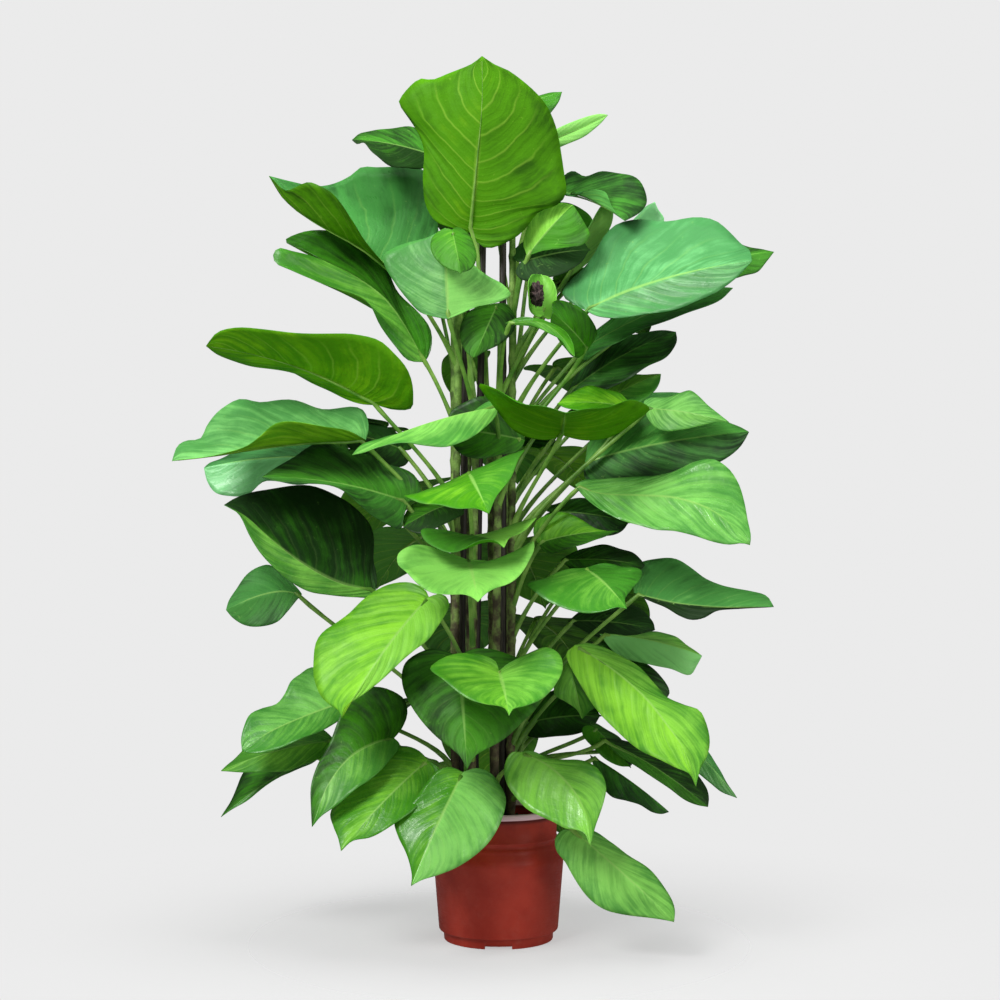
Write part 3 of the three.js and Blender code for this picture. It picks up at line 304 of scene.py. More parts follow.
# %% [markdown]
# The photo doesn't show the far side, so its leaves follow a rule instead: a bearing round the bundle of
# stems, the height and reach of the stalk's end, and the blade's own length, width, droop and lean.

# %% Stems and rear leaves
BUNDLE = Vector((-22, 0, 0)) * MM
RING_RADIUS = 42 * MM
FIRST_VINE = 22.5
TURN_PER_METRE = 17.5
VINE_TOPS = [height * MM for height in (760, 700, 700, 950, 940, 720, 740, 1010)]
SOIL_MIDDLE = 167 * MM
STEM_FOOT = 60 * MM
BELLY = 0.36
REAR_BOW = 38
REAR_CREASE, REAR_RISE = 0.08, 8


def bearing_of(vine, height):
    return FIRST_VINE + 360 / len(VINE_TOPS) * vine + TURN_PER_METRE * (height - SOIL_MIDDLE)


def stem_centre(vine, height):
    angle = math.radians(bearing_of(vine, height))
    return BUNDLE + RING_RADIUS * Vector((math.cos(angle), math.sin(angle), 0)) + height * UP


def nearest_vine(base):
    bearing = math.degrees(math.atan2(base.y - BUNDLE.y, base.x - BUNDLE.x))
    return round((bearing - bearing_of(0, base.z)) / (360 / len(VINE_TOPS))) % len(VINE_TOPS)


def rear(bearing, height, reach, length, width, pitch, lean):
    outward = Vector((math.cos(math.radians(bearing)), math.sin(math.radians(bearing)), 0))
    across = Vector((outward.y, -outward.x, 0))
    along = math.cos(math.radians(pitch)) * outward - math.sin(math.radians(pitch)) * UP
    above = across.cross(along)
    base = BUNDLE + MM * (reach * outward + height * UP)
    widest = base + MM * (length * BELLY * along + (length * REAR_CREASE + REAR_RISE) * above)
    edge = math.cos(math.radians(lean)) * across + math.sin(math.radians(lean)) * above
    half = MM * width / 2 * edge
    edges = ([widest - half], [widest + half])
    return {"base": base, "tip": base + MM * length * along, "edges": edges, "bow": REAR_BOW}


print("stem 1 at the soil:", stem_centre(0, SOIL_MIDDLE))

# %% [markdown]
# ## The shape of a blade
#
# Outlines and bent midribs are smooth curves through their points, measured along their length. A
# Catmull-Rom curve in its centripetal form never loops between points that lie unevenly, and Blender's
# own Bezier sampler draws it piece by piece.

# %% A curve through points
CURVE_STEPS = 12
SHORT_WAY = 0.01


class Curve:
    def __init__(self, points):
        self.places = [points[0]]
        ends = [2 * points[0] - points[1], *points, 2 * points[-1] - points[-2]]
        for before, start, end, after in zip(ends, ends[1:], ends[2:], ends[3:]):
            a, b, c = (math.sqrt((q - p).length) for p, q in ((before, start), (start, end), (end, after)))
            leave = (end - start) + b * ((start - before) / a - (end - before) / (a + b))
            arrive = (end - start) + b * ((after - end) / c - (after - start) / (b + c))
            piece = interpolate_bezier(start, start + leave / 3, end - arrive / 3, end, CURVE_STEPS + 1)
            self.places += piece[1:]
        self.ways = [0]
        for place, following in zip(self.places, self.places[1:]):
            self.ways.append(self.ways[-1] + (following - place).length)
        self.length = self.ways[-1]

    def at(self, share):
        way = share * self.length
        k = min(max(bisect(self.ways, way), 1), len(self.ways) - 1)
        part = (way - self.ways[k - 1]) / (self.ways[k] - self.ways[k - 1])
        return self.places[k - 1].lerp(self.places[k], part)

    def direction(self, share):
        return (self.at(min(share + SHORT_WAY, 1)) - self.at(max(share - SHORT_WAY, 0))).normalized()


print("curve steps:", CURVE_STEPS)

# %% [markdown]
# A blade's midrib is an arc, or a curve with points of its own. Each half has its own outline, or only
# its widest place, and then the usual heart is stretched to that. A place on the blade is two shares:
# how far out from the midrib, and how far along the outline from the base to the tip. `lift` rolls the
# margin up and `wave` ripples it. The upper side is the one that faces up and away from the stems.

# %% Blade
HEART = (
    (0.1, -0.055), (0.34, -0.105), (0.62, -0.075), (0.84, 0.02), (0.96, 0.16), (1, 0.31),
    (0.96, 0.45), (0.84, 0.6), (0.64, 0.74), (0.4, 0.85), (0.17, 0.92), (0.05, 0.955),
)
HEART_BELLY = 0.31
VEIN_START = 1.5
VEIN_LAG = 0.12
BULGE = 0.15
HALF_WAVES = 3
OUTWARD_PULL = 0.35


class Blade:
    def __init__(self, base, tip, edges, look, keel=None, bow=25, lift=(0.15, 0.15), wave=0.04,
                 vine=None, gloss=None):
        self.base, self.wave, self.gloss = base, wave, gloss
        self.vine = nearest_vine(base) if vine is None else vine
        chord = tip - base
        self.along = chord.normalized()
        self.arc = math.radians(bow)
        self.radius = chord.length / (2 * math.sin(self.arc / 2))
        self.path = Curve([base, *keel, tip]) if keel else None
        middles = [sum(edge, Vector()) / len(edge) for edge in edges]
        self.upper = (middles[1] - middles[0]).normalized().cross(self.along).normalized()
        looks = look if isinstance(look[0], tuple) else (look, look)
        halves = list(zip(edges, lift, looks))
        outward = Vector((base.x, base.y, 0)).normalized()
        if self.upper.dot(UP + OUTWARD_PULL * outward) < 0:
            self.upper.negate()
            halves.reverse()
        self.side = self.along.cross(self.upper)
        edges, self.lifts, self.looks = zip(*halves)
        self.outlines = []
        for edge in edges:
            points = edge if len(edge) > 1 else self.heart(edge[0])
            self.outlines.append(Curve([base, *points, tip]))

    def rib(self, share):
        """The midrib's point, direction and upper side at a share of its length"""
        if self.path:
            place = min(max(share, 0), 1)
            forward = self.path.direction(place)
            point = self.path.at(place) + min(share, 0) * self.path.length * forward
            return point, forward, (self.upper - self.upper.dot(forward) * forward).normalized()
        angle = self.arc / 2 - self.arc * min(max(share, 0), 1)
        before = min(share, 0) * self.radius * self.arc
        half = self.arc / 2
        on = self.radius * (math.sin(half) - math.sin(angle)) + before * math.cos(half)
        off = self.radius * (math.cos(angle) - math.cos(half)) + before * math.sin(half)
        point = self.base + on * self.along + off * self.upper
        forward = math.cos(angle) * self.along + math.sin(angle) * self.upper
        above = math.cos(angle) * self.upper - math.sin(angle) * self.along
        return point, forward, above

    def heart(self, widest):
        """The heart outline stretched to the widest place of a half"""
        point, forward, above = self.rib(BELLY)
        ahead, height, aside = ((widest - point).dot(way) for way in (forward, above, self.side))
        points = []
        for out, along in HEART:
            share = along ** (math.log(BELLY) / math.log(HEART_BELLY)) if along > 0 else along
            point, forward, above = self.rib(share)
            sweep = ahead * out * min(max(share / BELLY, 0), 1)
            points.append(point + sweep * forward + height * out * above + aside * out * self.side)
        return points

    def point_at(self, half, out, share):
        """A point of one half, how far it lies from the midrib, and the way up from the blade there"""
        point, forward, above = self.rib(max(share, 0) ** VEIN_START)
        across = self.outlines[half].at(share) - point
        reach = across.length
        facing = forward.cross(across) if half == 0 else across.cross(forward)
        rise = (facing + (BULGE * reach + 0.001 * MM) * above).normalized()
        roll = self.lifts[half] * (out * out - out)
        ripple = self.wave * out * out * math.sin(HALF_WAVES * math.pi * (share - BELLY))
        lag = VEIN_LAG * (out * out - out)
        return point + out * across + reach * ((roll + ripple) * rise + lag * forward), reach, rise


print("heart outline points:", len(HEART))

# %% [markdown]
# ## The leaves
#
# Each front leaf was chosen from the photo, from the crown down. `look` says how bright the leaf is,
# from 0 for deep green to 1 for fresh green, and how far it leans from yellow-green to blue-green. Both
# are partly the leaf's own colour and partly painted light: a leaf or half that lies in shade gets a darker
# look as painted shade and a lit one a brighter look, and the blue-green end also paints the pale
# reflection on blades turned up. A leaf whose halves differ has a pair for each. `gloss` goes from 0 for a
# matt leaf to 1 for a waxy one.
# The first group is the top of the plant, where the topmost leaf turns its underside to the viewer.

# %% Leaves of the crown and the upper left
FRONT_LEAVES = {
    "crown": front(
        (470, 233, 40), (482, 56, 100),
        ((460, 230, 44), (437, 222), (426, 205), (423, 180, 60), (423, 146), (402, 110), (398, 103, 72),
         (407, 90), (421, 79, 80), (432, 80), (448, 74), (472, 64, 97)),
        ((478, 243, 42), (487, 248, 44), (500, 245), (521, 233), (540, 211), (557, 205, 50), (566, 194, 52),
         (565, 175), (557, 130, 66), (542, 100), (510, 72, 90), (495, 65)),
        keel=((473, 200, 62), (478, 150, 84), (482, 105, 98)),
        look=((0.48, 0.02), (0.4, 0.02)),
    ),
    "crown_back": front(
        (480, 130, -60), (562, 92, -70),
        ((500, 118, -90), (520, 104, -105), (538, 95, -105), (552, 92, -90)),
        ((510, 135, -50), (535, 128, -45), (551, 112, -55), (559, 101, -62)),
        look=(0.4, 0.1),
    ),
    "furled": front(
        (515, 152, -20), (608, 115, 10),
        ((540, 138, -20), (561, 127, -12), (580, 119, -5), (600, 114, 5)),
        ((540, 153, -15), (563, 146, -2), (577, 140, 2), (588, 134, 5), (599, 125, 8)),
        lift=(0.5, 0.5), wave=0, look=(1, 0.6),
    ),
    "upleft_small": front(
        (440, 158, -40), (352, 140, 10),
        ((430, 135, -60), (412, 128, -60), (385, 130, -40), (362, 132, -10)),
        ((425, 167, -10), (405, 169, 15), (388, 166, 30), (375, 155, 35), (364, 142, 20), (357, 144, 12)),
        look=((0.22, 0.1), (0.03, 0)), gloss=0.1,
    ),
    "upleft_big": front(
        (412, 288, 40), (269, 176, 90),
        ((440, 262, -10), (442, 235, -40), (432, 195, -65), (420, 174, -70), (400, 169, -60),
         (375, 169, -50), (361, 169, -40), (350, 177, -20), (335, 182, 10), (312, 184, 50), (290, 181, 75)),
        ((385, 264, 50), (372, 248, 80), (360, 235, 100), (350, 220, 115), (342, 206, 125), (332, 194, 130),
         (320, 187, 130), (308, 182, 125), (295, 187, 115), (286, 190, 105)),
        keel=((383, 264, 58), (360, 247, 70), (330, 231, 84), (300, 213, 90), (283, 198, 92)),
        look=((0.45, 0.6), (0.35, 0)),
    ),
    "split": front(
        (425, 362, 30), (322, 260, 75),
        ((431, 350, 24), (431, 330, 20), (418, 310), (398, 290), (387, 272, 14), (374, 249), (355, 237, 18),
         (327, 232), (303, 231, 40), (287, 237, 60), (302, 247, 65)),
        ((408, 360, 45), (395, 345, 60), (382, 325, 75), (372, 307, 90), (362, 299, 95), (340, 291),
         (312, 280), (290, 271, 110), (276, 263), (274, 254, 112), (280, 245, 112), (297, 250, 95)),
        keel=((405, 325, 40), (385, 298, 52), (355, 276, 65)),
        look=((0.35, 0.1), (0.65, 0.2)),
    ),
    "pale_left": front(
        (448, 319, 120), (445, 228, 100),
        ((436, 317, 118), (420, 312), (408, 300), (395, 283, 105), (386, 268), (384, 257, 95), (391, 250),
         (404, 243), (428, 237, 97)),
        ((462, 313, 118), (478, 306), (495, 303), (506, 299, 105), (511, 295, 103), (503, 285), (488, 277),
         (472, 262, 100), (460, 240)),
        bow=20, look=((0.6, 0.5), (0.88, 0.4)),
    ),
    "small_left": front(
        (452, 230, 120), (461, 274, 150), (431, 250, 130), (476, 252, 130),
        look=((0.5, 0), (0.3, 0)), gloss=0.3,
    ),
}
print("front leaves so far:", len(FRONT_LEAVES))

# %% [markdown]
# On the upper right the blades stand up or lie over each other like tiles. Small ones hang in the middle.

# %% Leaves of the upper right
FRONT_LEAVES |= {
    "crinkled": front(
        (527, 256, 30), (573, 205, 40),
        ((523, 243, 28), (527, 228), (533, 214), (545, 207, 32), (560, 203)),
        ((545, 250, 45), (565, 248, 60), (583, 245), (590, 236, 65), (584, 222), (578, 212, 50)),
        look=((0.85, 0.1), (0.35, 0)), gloss=0.1,
    ),
    "shade_mid": front(
        (521, 262, 25), (591, 250, 25), (553, 231, 0), (550, 278, 50),
        look=(0, 0.1), gloss=0,
    ),
    "roof_right": front(
        (560, 192, -60), (625, 221, 30),
        ((563, 176, -60), (572, 170, -60), (585, 176, -55), (602, 171, -50), (622, 175, -40),
         (640, 183, -25), (647, 198, -10), (642, 210, 10)),
        ((575, 196, -30), (590, 190, -20), (604, 191, -5), (612, 206, 15), (618, 215, 25)),
        bow=30, look=((0.2, 0.2), (0.45, 0.6)), gloss=0.1,
    ),
    "upright_right": front(
        (568, 278, -20), (607, 200, -20),
        ((574, 258, -15), (582, 240, -15), (592, 221, -15), (600, 207, -18)),
        ((588, 262, -40), (600, 245, -45), (612, 222, -35), (612, 207, -25)),
        look=(1, 0.5),
    ),
    "peak_right": front(
        (612, 252, -60), (655, 202, -50),
        ((622, 235, -65), (635, 219, -65), (645, 207, -58)),
        ((640, 248, -40), (655, 235, -38), (664, 219, -40), (658, 209, -45)),
        look=(1, 0.9),
    ),
    "pale_right": front(
        (585, 310, 60), (752, 261, 150),
        ((572, 303, 45), (562, 295, 38), (567, 282, 28), (580, 268, 18), (593, 252, 8), (605, 236, 0),
         (618, 226, -5), (640, 221, -10), (670, 224, -8), (697, 222, 0), (715, 223, 10), (729, 230, 35),
         (741, 241, 70), (750, 251, 120)),
        ((598, 316, 85), (625, 317, 108), (650, 314, 122), (680, 309, 135), (700, 300, 142),
         (720, 289, 148), (738, 276, 152)),
        look=((0.6, 0.9), (0.6, 0.8)), gloss=0.6,
    ),
    "tip_right": front(
        (700, 268, -40), (774, 252, -30),
        ((712, 250, -55), (730, 243, -60), (745, 246, -55), (762, 249, -45)),
        ((715, 278, -20), (730, 279, -12), (743, 277, -10), (757, 272, -15), (767, 261, -25)),
        look=((0.25, 0.1), (0.35, 0.1)),
    ),
    "under_right": front(
        (578, 352, -10), (733, 288, 40),
        ((590, 335, -40), (620, 310, -55), (660, 292, -50), (700, 285, -20)),
        ((585, 360, 10), (600, 350, 25), (630, 336, 45), (655, 326, 55), (680, 316, 58), (705, 306, 55),
         (722, 298, 50)),
        look=(0.4, 0.4),
    ),
    "dark_mid": front(
        (588, 350, 40), (552, 312, 130),
        ((597, 335, 50), (592, 320, 70), (578, 307, 90), (560, 300, 115), (553, 303, 128)),
        ((578, 358, 60), (566, 350, 90), (556, 335, 115), (551, 322, 128)),
        look=((0.35, 0), (0.4, 0)),
    ),
    "ribbon": front(
        (505, 323, 90), (575, 357, 180),
        ((520, 317, 100), (540, 319, 115), (556, 325, 135), (567, 333, 155), (573, 345, 170)),
        ((515, 325, 95), (535, 327, 110), (550, 334, 130), (562, 341, 150), (568, 351, 165)),
        keel=((540, 322, 117), (562, 337, 148)),
        look=((0.5, 0), (0.65, 0.2)),
    ),
    "hang_mid": front(
        (498, 303, 75), (474, 358, 95),
        ((480, 306, 78), (467, 313, 82), (460, 330, 87), (462, 345, 90), (467, 353, 93)),
        ((507, 304, 74), (516, 318, 76), (513, 332, 80), (500, 344, 86), (486, 351, 91)),
        look=((0.3, 0), (0.2, 0)), gloss=0.2,
    ),
    "bud": front(
        (544, 315, 60), (541, 274, 50), (527, 290, 110), (557, 295, 70),
        lift=(0.6, 0.6), look=((0.85, 0.2), (1, 0.2)),
    ),
}
print("front leaves so far:", len(FRONT_LEAVES))

# %% [markdown]
# At half height the left side has the blades that reach furthest out from the stems.

# %% Leaves of the left side
FRONT_LEAVES |= {
    "arm_left": front(
        (378, 405, 40), (206, 346, 90),
        ((392, 409, 45), (412, 407, 60), (414, 395, 80), (412, 380, 95), (406, 366, 108), (396, 354, 115),
         (380, 341, 120), (355, 337, 122), (330, 336, 122), (300, 333, 120), (265, 329, 115),
         (235, 327, 108), (217, 332, 100)),
        ((362, 404, 35), (345, 398, 25), (322, 387, 15), (290, 374, 10), (262, 368, 20), (238, 362, 40),
         (218, 354, 65)),
        bow=30, look=((0.65, 0), (0.7, 0)),
    ),
    "left_wave": front(
        (366, 440, 60), (172, 461, 120),
        ((369, 425, 42), (364, 410, 25), (355, 406, 18), (325, 407, 10), (297, 402, 0), (262, 406, 10),
         (240, 400, 20), (222, 409, 35), (207, 425, 60), (200, 437, 75), (186, 439, 90), (177, 446, 108)),
        ((350, 431, 100), (330, 426, 130), (300, 423, 145), (275, 426, 150), (260, 437, 150),
         (245, 447, 142), (220, 454, 132)),
        keel=((330, 441, 88), (300, 443, 98), (262, 448, 108), (215, 456, 116)),
        look=((0.7, 0.6), (0.78, 0.05)),
    ),
    "left_under": front(
        (335, 458, -20), (204, 468, 0),
        ((320, 440, -50), (290, 435, -75), (262, 442, -70), (240, 450, -55), (220, 458, -25),
         (209, 463, -8)),
        ((325, 478, 0), (300, 484, 15), (275, 482, 20), (263, 483, 20), (247, 495, 20), (230, 496, 18),
         (215, 492, 12), (207, 481, 5)),
        look=((0.4, 0.8), (1, 0.9)), gloss=0.8,
    ),
    "left_rim": front(
        (408, 502, 60), (262, 477, 130),
        ((420, 499, 58), (421, 487, 50), (414, 473, 40), (403, 467, 35), (388, 464, 28), (368, 456, 20),
         (345, 449, 15), (318, 446, 25), (295, 455, 60), (275, 468, 105)),
        ((404, 516, 75), (402, 528, 85), (388, 524, 95), (372, 516, 108), (357, 503, 125), (343, 492, 135),
         (325, 485, 140), (300, 482, 140), (278, 481, 135)),
        look=((0.3, 0.1), (0.3, 0.2)),
    ),
    "left_dark": front(
        (376, 590, 40), (224, 505, 110),
        ((377, 578, 30), (374, 558, 10), (375, 541, 0), (372, 527, -10), (362, 515, -15), (347, 502, -20),
         (330, 494), (310, 489, -10), (287, 487, 10), (262, 489, 40), (245, 494, 70), (233, 499, 95)),
        ((372, 597, 45), (355, 597, 55), (330, 595), (310, 592, 80), (292, 583), (275, 570, 105),
         (262, 555), (250, 535, 118), (238, 513, 115)),
        keel=((340, 583, 60), (305, 565, 78), (272, 540, 95), (245, 516, 105)),
        look=((0.1, 0.1), (0.7, 0.2)),
    ),
    "sliver": front(
        (498, 406, 90), (352, 455, 140),
        ((490, 401, 80), (480, 406, 75), (466, 416, 75), (450, 423, 80), (435, 430, 85), (420, 432, 92),
         (400, 434, 102), (380, 438, 115), (362, 444, 130)),
        ((496, 416, 105), (487, 425, 120), (475, 434, 132), (463, 442, 140), (448, 448, 145),
         (425, 446, 148), (400, 443, 148), (380, 446, 146), (362, 453, 143)),
        bow=20, look=((0.6, 0.3), (0.72, 0.3)),
    ),
}
print("front leaves so far:", len(FRONT_LEAVES))

# %% [markdown]
# A few blades lie across the stems and point at the viewer, so the picture shows them shortened. Only
# their distances say how long they are.

# %% Leaves in front of the stems
FRONT_LEAVES |= {
    "bridge": front(
        (562, 435, 70), (566, 413, 200),
        ((545, 440, 72), (520, 432, 78), (500, 415, 92), (487, 400, 108), (478, 386, 122), (495, 392, 142),
         (520, 401, 168), (545, 406, 188)),
        ((585, 440, 72), (612, 434, 80), (635, 423, 98), (650, 410, 118), (635, 403, 138), (610, 405, 165),
         (588, 408, 188)),
        bow=35, look=(0.55, 0),
    ),
    "shade_left": front(
        (525, 440, 58), (446, 428, 66),
        ((515, 415, 54), (498, 401, 57), (480, 397, 62), (463, 403, 64), (451, 411, 65)),
        ((520, 450, 64), (500, 455, 75), (475, 459, 80), (460, 453, 78), (450, 441, 72)),
        vine=6, look=((0.2, 0), (0.35, 0)),
    ),
    "mid_fold": front(
        (468, 472, 120), (489, 514, 240),
        ((450, 480, 122), (432, 487, 135), (417, 492, 155), (405, 499, 180), (418, 504, 200),
         (436, 504, 215), (455, 508, 228), (476, 508, 237)),
        ((482, 466, 118), (497, 459, 122), (511, 453, 130), (524, 449, 142), (521, 458, 155),
         (512, 476, 180), (502, 489, 205), (495, 498, 225)),
        look=((0.6, 0), (0.55, 0.1)),
    ),
    "mid_fold_under": front(
        (450, 504, 40), (403, 528, 80), (418, 502, 40), (440, 527, 90),
        look=((0.25, 0), (0, 0)),
    ),
    "mid_gutter": front(
        (470, 536, 110), (504, 548, 210),
        ((458, 533, 112), (443, 528, 120), (430, 527, 130), (421, 531, 145), (424, 540, 160),
         (435, 549, 175), (447, 554, 185), (458, 551, 192), (468, 545, 198), (480, 540, 203),
         (494, 540, 207)),
        ((482, 534, 108), (497, 529, 115), (515, 524, 125), (530, 520, 138), (537, 520, 148),
         (530, 527, 162), (518, 533, 180), (509, 538, 198)),
        look=((0.55, 0.1), (1, 0.2)),
    ),
    "front_heart": front(
        (468, 560, 120), (478, 602, 255),
        ((458, 556, 122), (447, 551, 128), (435, 546, 136), (420, 544, 146), (407, 547, 156),
         (398, 554, 165), (398, 566, 175), (408, 577, 192), (420, 586, 208), (434, 592, 222),
         (450, 594, 233), (464, 594, 243), (472, 597, 250)),
        ((482, 560, 120), (497, 560, 124), (510, 555, 130), (522, 548, 140), (533, 541, 152),
         (534, 552, 165), (528, 566, 182), (520, 575, 198), (508, 583, 213), (495, 588, 228),
         (485, 594, 243)),
        lift=(0.3, 0.3), look=(0.95, 0.3),
    ),
}
print("front leaves so far:", len(FRONT_LEAVES))

# %% [markdown]
# The right side goes on from the upper leaves down to the pot. Some of its blades lie deep in shade.

# %% Leaves of the right side
FRONT_LEAVES |= {
    "bridge_back": front(
        (632, 408, 30), (557, 404, 50),
        ((622, 394, 20), (605, 389, 15), (590, 387, 15), (575, 391, 20), (564, 398, 35)),
        ((622, 411, 60), (600, 412, 72), (580, 410, 70), (567, 408, 60)),
        look=((0.7, 0), (0.55, 0)),
    ),
    "dark_right": front(
        (568, 392, -20), (676, 332, -40),
        ((575, 375, -45), (588, 357, -60), (605, 343, -65), (625, 336, -65), (650, 331, -55),
         (665, 330, -48)),
        ((582, 398, -5), (605, 390, 10), (627, 380, 20), (645, 370, 20), (660, 361, 10), (672, 350, -10),
         (677, 340, -28)),
        look=((0.15, 0.3), (0.2, 0.2)),
    ),
    "dart_right": front(
        (590, 410, -30), (661, 374, -20),
        ((585, 398, -40), (590, 386, -48), (605, 379, -52), (625, 375, -50), (645, 374, -35)),
        ((605, 414, -15), (625, 411, -5), (642, 402, 0), (655, 390, -8), (660, 381, -15)),
        look=((0.75, 0.1), (0.6, 0.2)),
    ),
    "fold_right": front(
        (645, 408, 40), (729, 422, 100),
        ((644, 401, 35), (652, 397, 35), (668, 397, 42), (680, 393, 50), (690, 391, 57), (698, 396, 65),
         (708, 405, 78), (719, 414, 90)),
        ((647, 417, 50), (655, 427, 62), (665, 431, 70), (682, 430, 78), (700, 426, 86), (717, 422, 94)),
        look=((0.8, 0.4), (0.78, 0.3)),
    ),
    "fold_back": front(
        (610, 420, -55), (705, 402, -45), (650, 394, -75), (660, 412, -45),
        look=(0.6, 0.6),
    ),
    "rib_right": front(
        (585, 462, 0), (749, 432, 70),
        ((590, 440, -12), (615, 420, -18), (650, 410, -15), (690, 408, -10), (718, 416, 10),
         (737, 425, 42)),
        ((585, 478, 20), (600, 484, 30), (632, 482, 50), (665, 478, 60), (692, 470, 65), (714, 464, 68),
         (729, 456, 70), (740, 447, 70), (746, 438, 70)),
        bow=20, look=((0.45, 0.3), (0.2, 0.3)), gloss=0.2,
    ),
    "long_right": front(
        (575, 485, 50), (750, 545, 150),
        ((583, 480, 45), (605, 478, 48), (640, 476, 55), (672, 472, 65), (697, 464, 76), (714, 461, 85),
         (728, 468, 95), (738, 482, 103), (744, 500, 114), (748, 520, 130), (751, 536, 143)),
        ((580, 492, 62), (588, 500, 75), (600, 509, 88), (617, 518, 102), (636, 525, 117), (655, 531, 130),
         (675, 531, 138), (693, 535, 143), (712, 541, 148), (730, 544, 151), (742, 543, 151)),
        keel=((600, 493, 70), (640, 495, 88), (677, 498, 106), (715, 512, 127)),
        look=((0.78, 0.4), (0.75, 0.4)), gloss=0.9,
    ),
    "shade_right": front(
        (550, 512, 0), (631, 523, 20), (590, 500, -40), (590, 535, 20),
        look=(0.1, 0.2),
    ),
    "mid_back": front(
        (538, 543, 30), (620, 531, 70),
        ((533, 532, 25), (538, 519, 22), (552, 513, 20), (568, 514, 25), (582, 520, 38), (595, 528, 55),
         (608, 531, 64)),
        ((545, 552, 50), (563, 551, 75), (582, 545, 88), (600, 538, 85), (612, 533, 76)),
        look=((0.7, 0), (0.25, 0)),
    ),
    "right_pair": front(
        (585, 568, 90), (627, 609, 200),
        ((568, 569, 98), (550, 574, 118), (535, 580, 138), (527, 587, 152), (535, 594, 163),
         (550, 603, 175), (567, 610, 184), (585, 612, 191), (605, 610, 196), (618, 607, 199)),
        ((603, 563, 92), (622, 565, 100), (641, 572, 122), (640, 580, 142), (631, 590, 165),
         (625, 599, 185)),
        look=((0.6, 0.2), (0.4, 0.2)),
    ),
    "right_shade": front(
        (560, 560, 0), (645, 566, 0),
        ((575, 551, -15), (595, 546, -35), (615, 548, -40), (632, 552, -25), (640, 558, -10)),
        ((580, 575, 15), (610, 582, 20), (635, 575, 10)),
        look=((0.1, 0.1), (0.15, 0.1)),
    ),
    "right_tail": front(
        (634, 593, 20), (774, 607, 90),
        ((633, 575, 0), (640, 561, -18), (655, 557, -25), (672, 559, -20), (692, 570, 0), (707, 580, 20),
         (722, 586, 35), (750, 590, 62), (767, 596, 80)),
        ((648, 600, 40), (665, 607, 55), (680, 616, 64), (692, 620, 68), (704, 618, 70), (717, 611, 72),
         (740, 609, 78)),
        keel=((660, 600, 48), (682, 604, 62), (722, 607, 75), (750, 607, 84)),
        look=((0.5, 0.5), (0, 0)), gloss=0,
    ),
    "right_under": front(
        (568, 621, -45), (655, 630, -45),
        ((583, 609, -70), (605, 601, -88), (628, 604, -90), (644, 611, -75), (653, 621, -58)),
        ((587, 632, -30), (610, 640, -25), (635, 638, -32)),
        look=((0.05, 0.1), (0, 0.1)),
    ),
    "right_blunt": front(
        (600, 634, 0), (702, 656, 50),
        ((615, 634, -15), (635, 635, -20), (655, 633, -20), (672, 636, -5), (688, 645, 25)),
        ((612, 650, 15), (630, 660, 35), (650, 665, 50), (670, 669, 58), (690, 674, 62), (697, 665, 58)),
        look=((0.8, 0.2), (1, 0.6)),
    ),
    "right_low": front(
        (575, 645, 90), (696, 787, 200),
        ((566, 653, 95), (569, 663, 103), (577, 678, 115), (590, 700, 128), (605, 720, 140),
         (622, 737, 152), (640, 750, 162), (657, 758, 172), (675, 767, 182), (690, 774, 192)),
        ((587, 643, 85), (605, 647, 80), (622, 656, 82), (640, 667, 88), (656, 685, 98), (667, 699, 108),
         (684, 707, 115), (699, 711, 122), (706, 722, 130), (710, 738, 140), (708, 754, 155),
         (701, 768, 175), (698, 778, 190)),
        keel=((600, 660, 95), (622, 676, 108), (645, 697, 125), (665, 722, 145), (684, 750, 170)),
        look=((0.84, 0), (0.78, 0.1)), gloss=0.3,
    ),
    "right_low_back": front(
        (600, 650, 10), (668, 700, 20), (652, 668, 10), (630, 690, 30),
        look=(0.2, 0.1),
    ),
    "mid_right_hang": front(
        (566, 655, 60), (582, 719, 110),
        ((560, 664, 64), (555, 680, 70), (555, 695, 78), (566, 702, 86), (577, 710, 98)),
        ((572, 664, 62), (578, 680, 66), (588, 698, 74), (596, 706, 82), (590, 711, 95)),
        look=((0.85, 0.2), (0.6, 0.1)),
    ),
}
print("front leaves so far:", len(FRONT_LEAVES))

# %% [markdown]
# The lowest blades hang just above the pot, beside it and over its rim.

